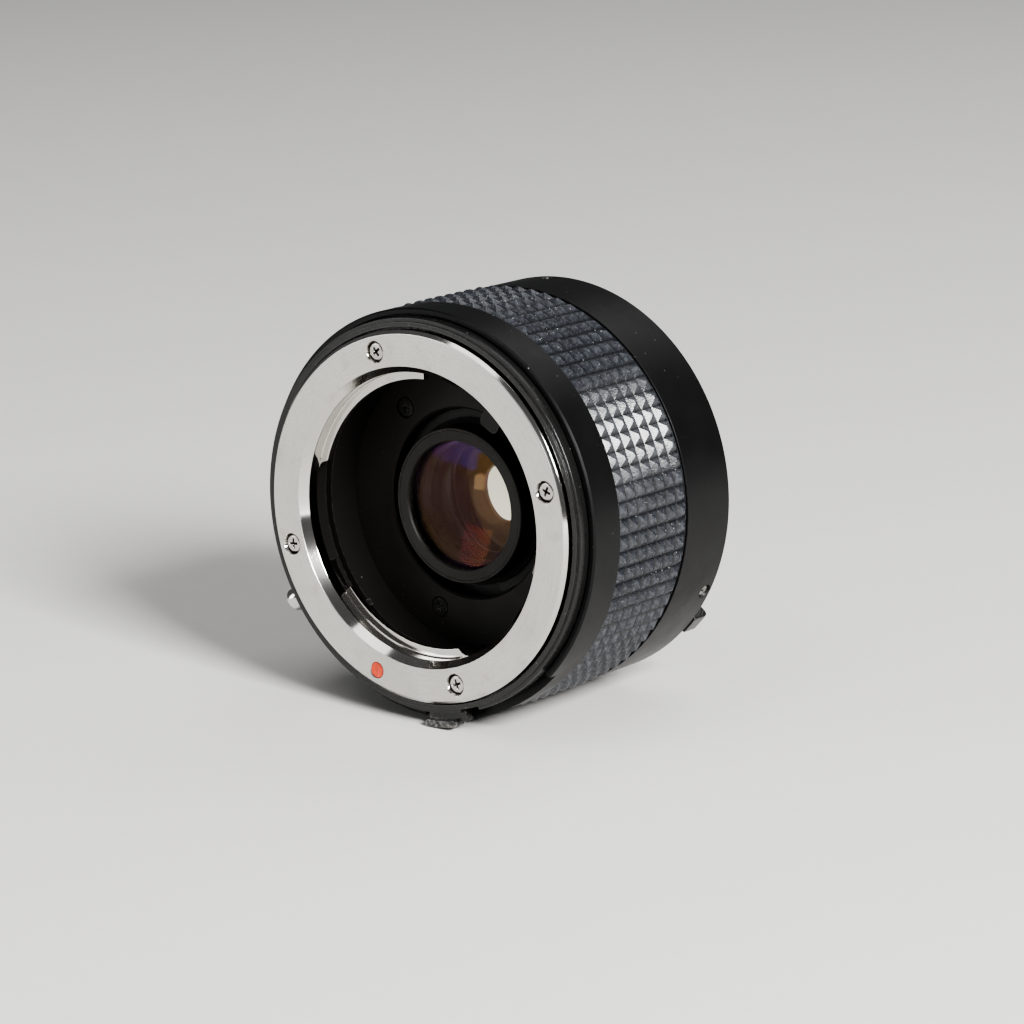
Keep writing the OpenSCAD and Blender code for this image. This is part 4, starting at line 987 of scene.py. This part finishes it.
def rear_bayonet():
    """Male bayonet: a turned plate, register and neck with three lugs, and screw hollows in its face."""
    bore_r, neck_r, register_r, plate_r, chamfer = 20.8, 22.2, 23.93, 29.9, 0.35
    register_end, neck_end = REAR_FACE + 3.4, REAR_FACE + 6.23
    outline = fill_long(rounded(
        [(bore_r, SHELL_END), (plate_r, SHELL_END), (plate_r, REAR_FACE - chamfer),
         (plate_r - chamfer, REAR_FACE), (register_r, REAR_FACE), (register_r, register_end),
         (neck_r, register_end), (neck_r, neck_end), (bore_r, neck_end)],
        [0.08, 0.08, 0.1, 0.1, 0.06, 0.15, 0.06, 0.12, 0.15]), 0.15)
    screw_sink = holes([(REAR_SCREW_R, a) for a in REAR_SCREWS], HEAD_HOLE_R, HEAD_HOLE)

    def sink(r, a, y):
        on_face = (np.abs(y - REAR_FACE) < 0.004) & (r > register_r + 0.07)
        return r, y - np.where(on_face, screw_sink(r, a), 0.0)

    parts = [turned(outline, around(*REAR_SCREWS, base=300), sink)]
    lug_r, lug_y, lug_end, lug_half = 23.7, REAR_FACE + 4.95, REAR_FACE + 6.25, 26.0
    for middle in (139.2, 260.8, 10.15):
        a, b = middle - lug_half, middle + lug_half
        parts.append(arc_block(bore_r + 0.1, lug_r, lug_y, lug_end, a, b, 0.15))
    add("rear_bayonet", parts, "barrel", "rear_chrome", ["rear_mount_ring"])


front_flange()
screws()
index_dots()
coupling_ring()
rear_coupling()
barrel_front()
barrel_rear()
grip()
optics()
button()
rear_bayonet()


# Stage

def floor():
    """Flat floor under the part, which lies on its front tab and on the last row of the grip: in the part's
    frame it leans a little, z = foot + slope * (y - y_foot)."""
    grip_r, foot_y, grip_y = 34.65, 39.6, 15.1
    slope = (FOOT_R - grip_r) / (foot_y - grip_y)
    side = np.linspace(-4.0, 4.0, 9)
    x, y = np.meshgrid(side, side, indexing="ij")
    z = 0.001 * (-FOOT_R - 0.02 + slope * (1000.0 * y + foot_y))
    sheet = np.stack([x, y, z], -1).reshape(-1, 3), [quads(len(side), len(side))]
    shown("floor", [sheet], paper("floor_paper"))


def lamp(name, place, size, power):
    """Square soft lamp that looks at the middle of the part."""
    light = bpy.data.lights.new(name, "AREA")
    light.shape, light.size, light.energy = "SQUARE", size, power
    o = bpy.data.objects.new(name, light)
    middle = (0.0, 0.0005 * FRONT, 0.0)
    z = np.subtract(place, middle)
    z = z / np.linalg.norm(z)
    x = np.cross((0.0, 0.0, 1.0), z)
    x = x / np.linalg.norm(x)
    turn = Matrix(np.stack([x, np.cross(z, x), z], 1).tolist()).to_4x4()
    o.matrix_world = Matrix.Translation(place) @ turn
    bpy.context.scene.collection.objects.link(o)


def studio_world():
    """Weak even light from all sides, and the picture's contrast."""
    world = bpy.data.worlds.new("studio")
    bpy.context.scene.world = world
    bpy.context.scene.view_settings.look = "AgX - Medium High Contrast"
    world.use_nodes = True
    sky = world.node_tree.nodes["Background"]
    sky.inputs["Color"].default_value = (0.9, 0.92, 0.95, 1.0)
    sky.inputs["Strength"].default_value = 0.12


def photo_camera():
    """Camera at the photograph's view."""
    camera = bpy.data.cameras.new("camera")
    camera.lens, camera.sensor_width = 142.16, 36.0
    camera.clip_start, camera.clip_end = 0.05, 20.0
    eye = bpy.data.objects.new("camera", camera)
    right, up, forward = (0.7869, 0.6171, 0.0), (-0.1441, 0.1837, 0.9724), (-0.6000, 0.7651, -0.2335)
    turn = Matrix(np.stack([right, up, -np.array(forward)], 1).tolist()).to_4x4()
    eye.matrix_world = Matrix.Translation((0.4079, -0.5364, 0.1550)) @ turn
    bpy.context.scene.collection.objects.link(eye)
    bpy.context.scene.camera = eye


floor()
lamp("key", (0.98, -0.38, 0.6), 0.36, 36.0)
lamp("fill", (-0.85, -1.05, 0.22), 0.5, 4.0)
lamp("top", (0.1, 0.7, 1.2), 0.9, 6.0)
lamp("over", (-0.15, -0.55, 1.1), 0.6, 2.5)
studio_world()
photo_camera()
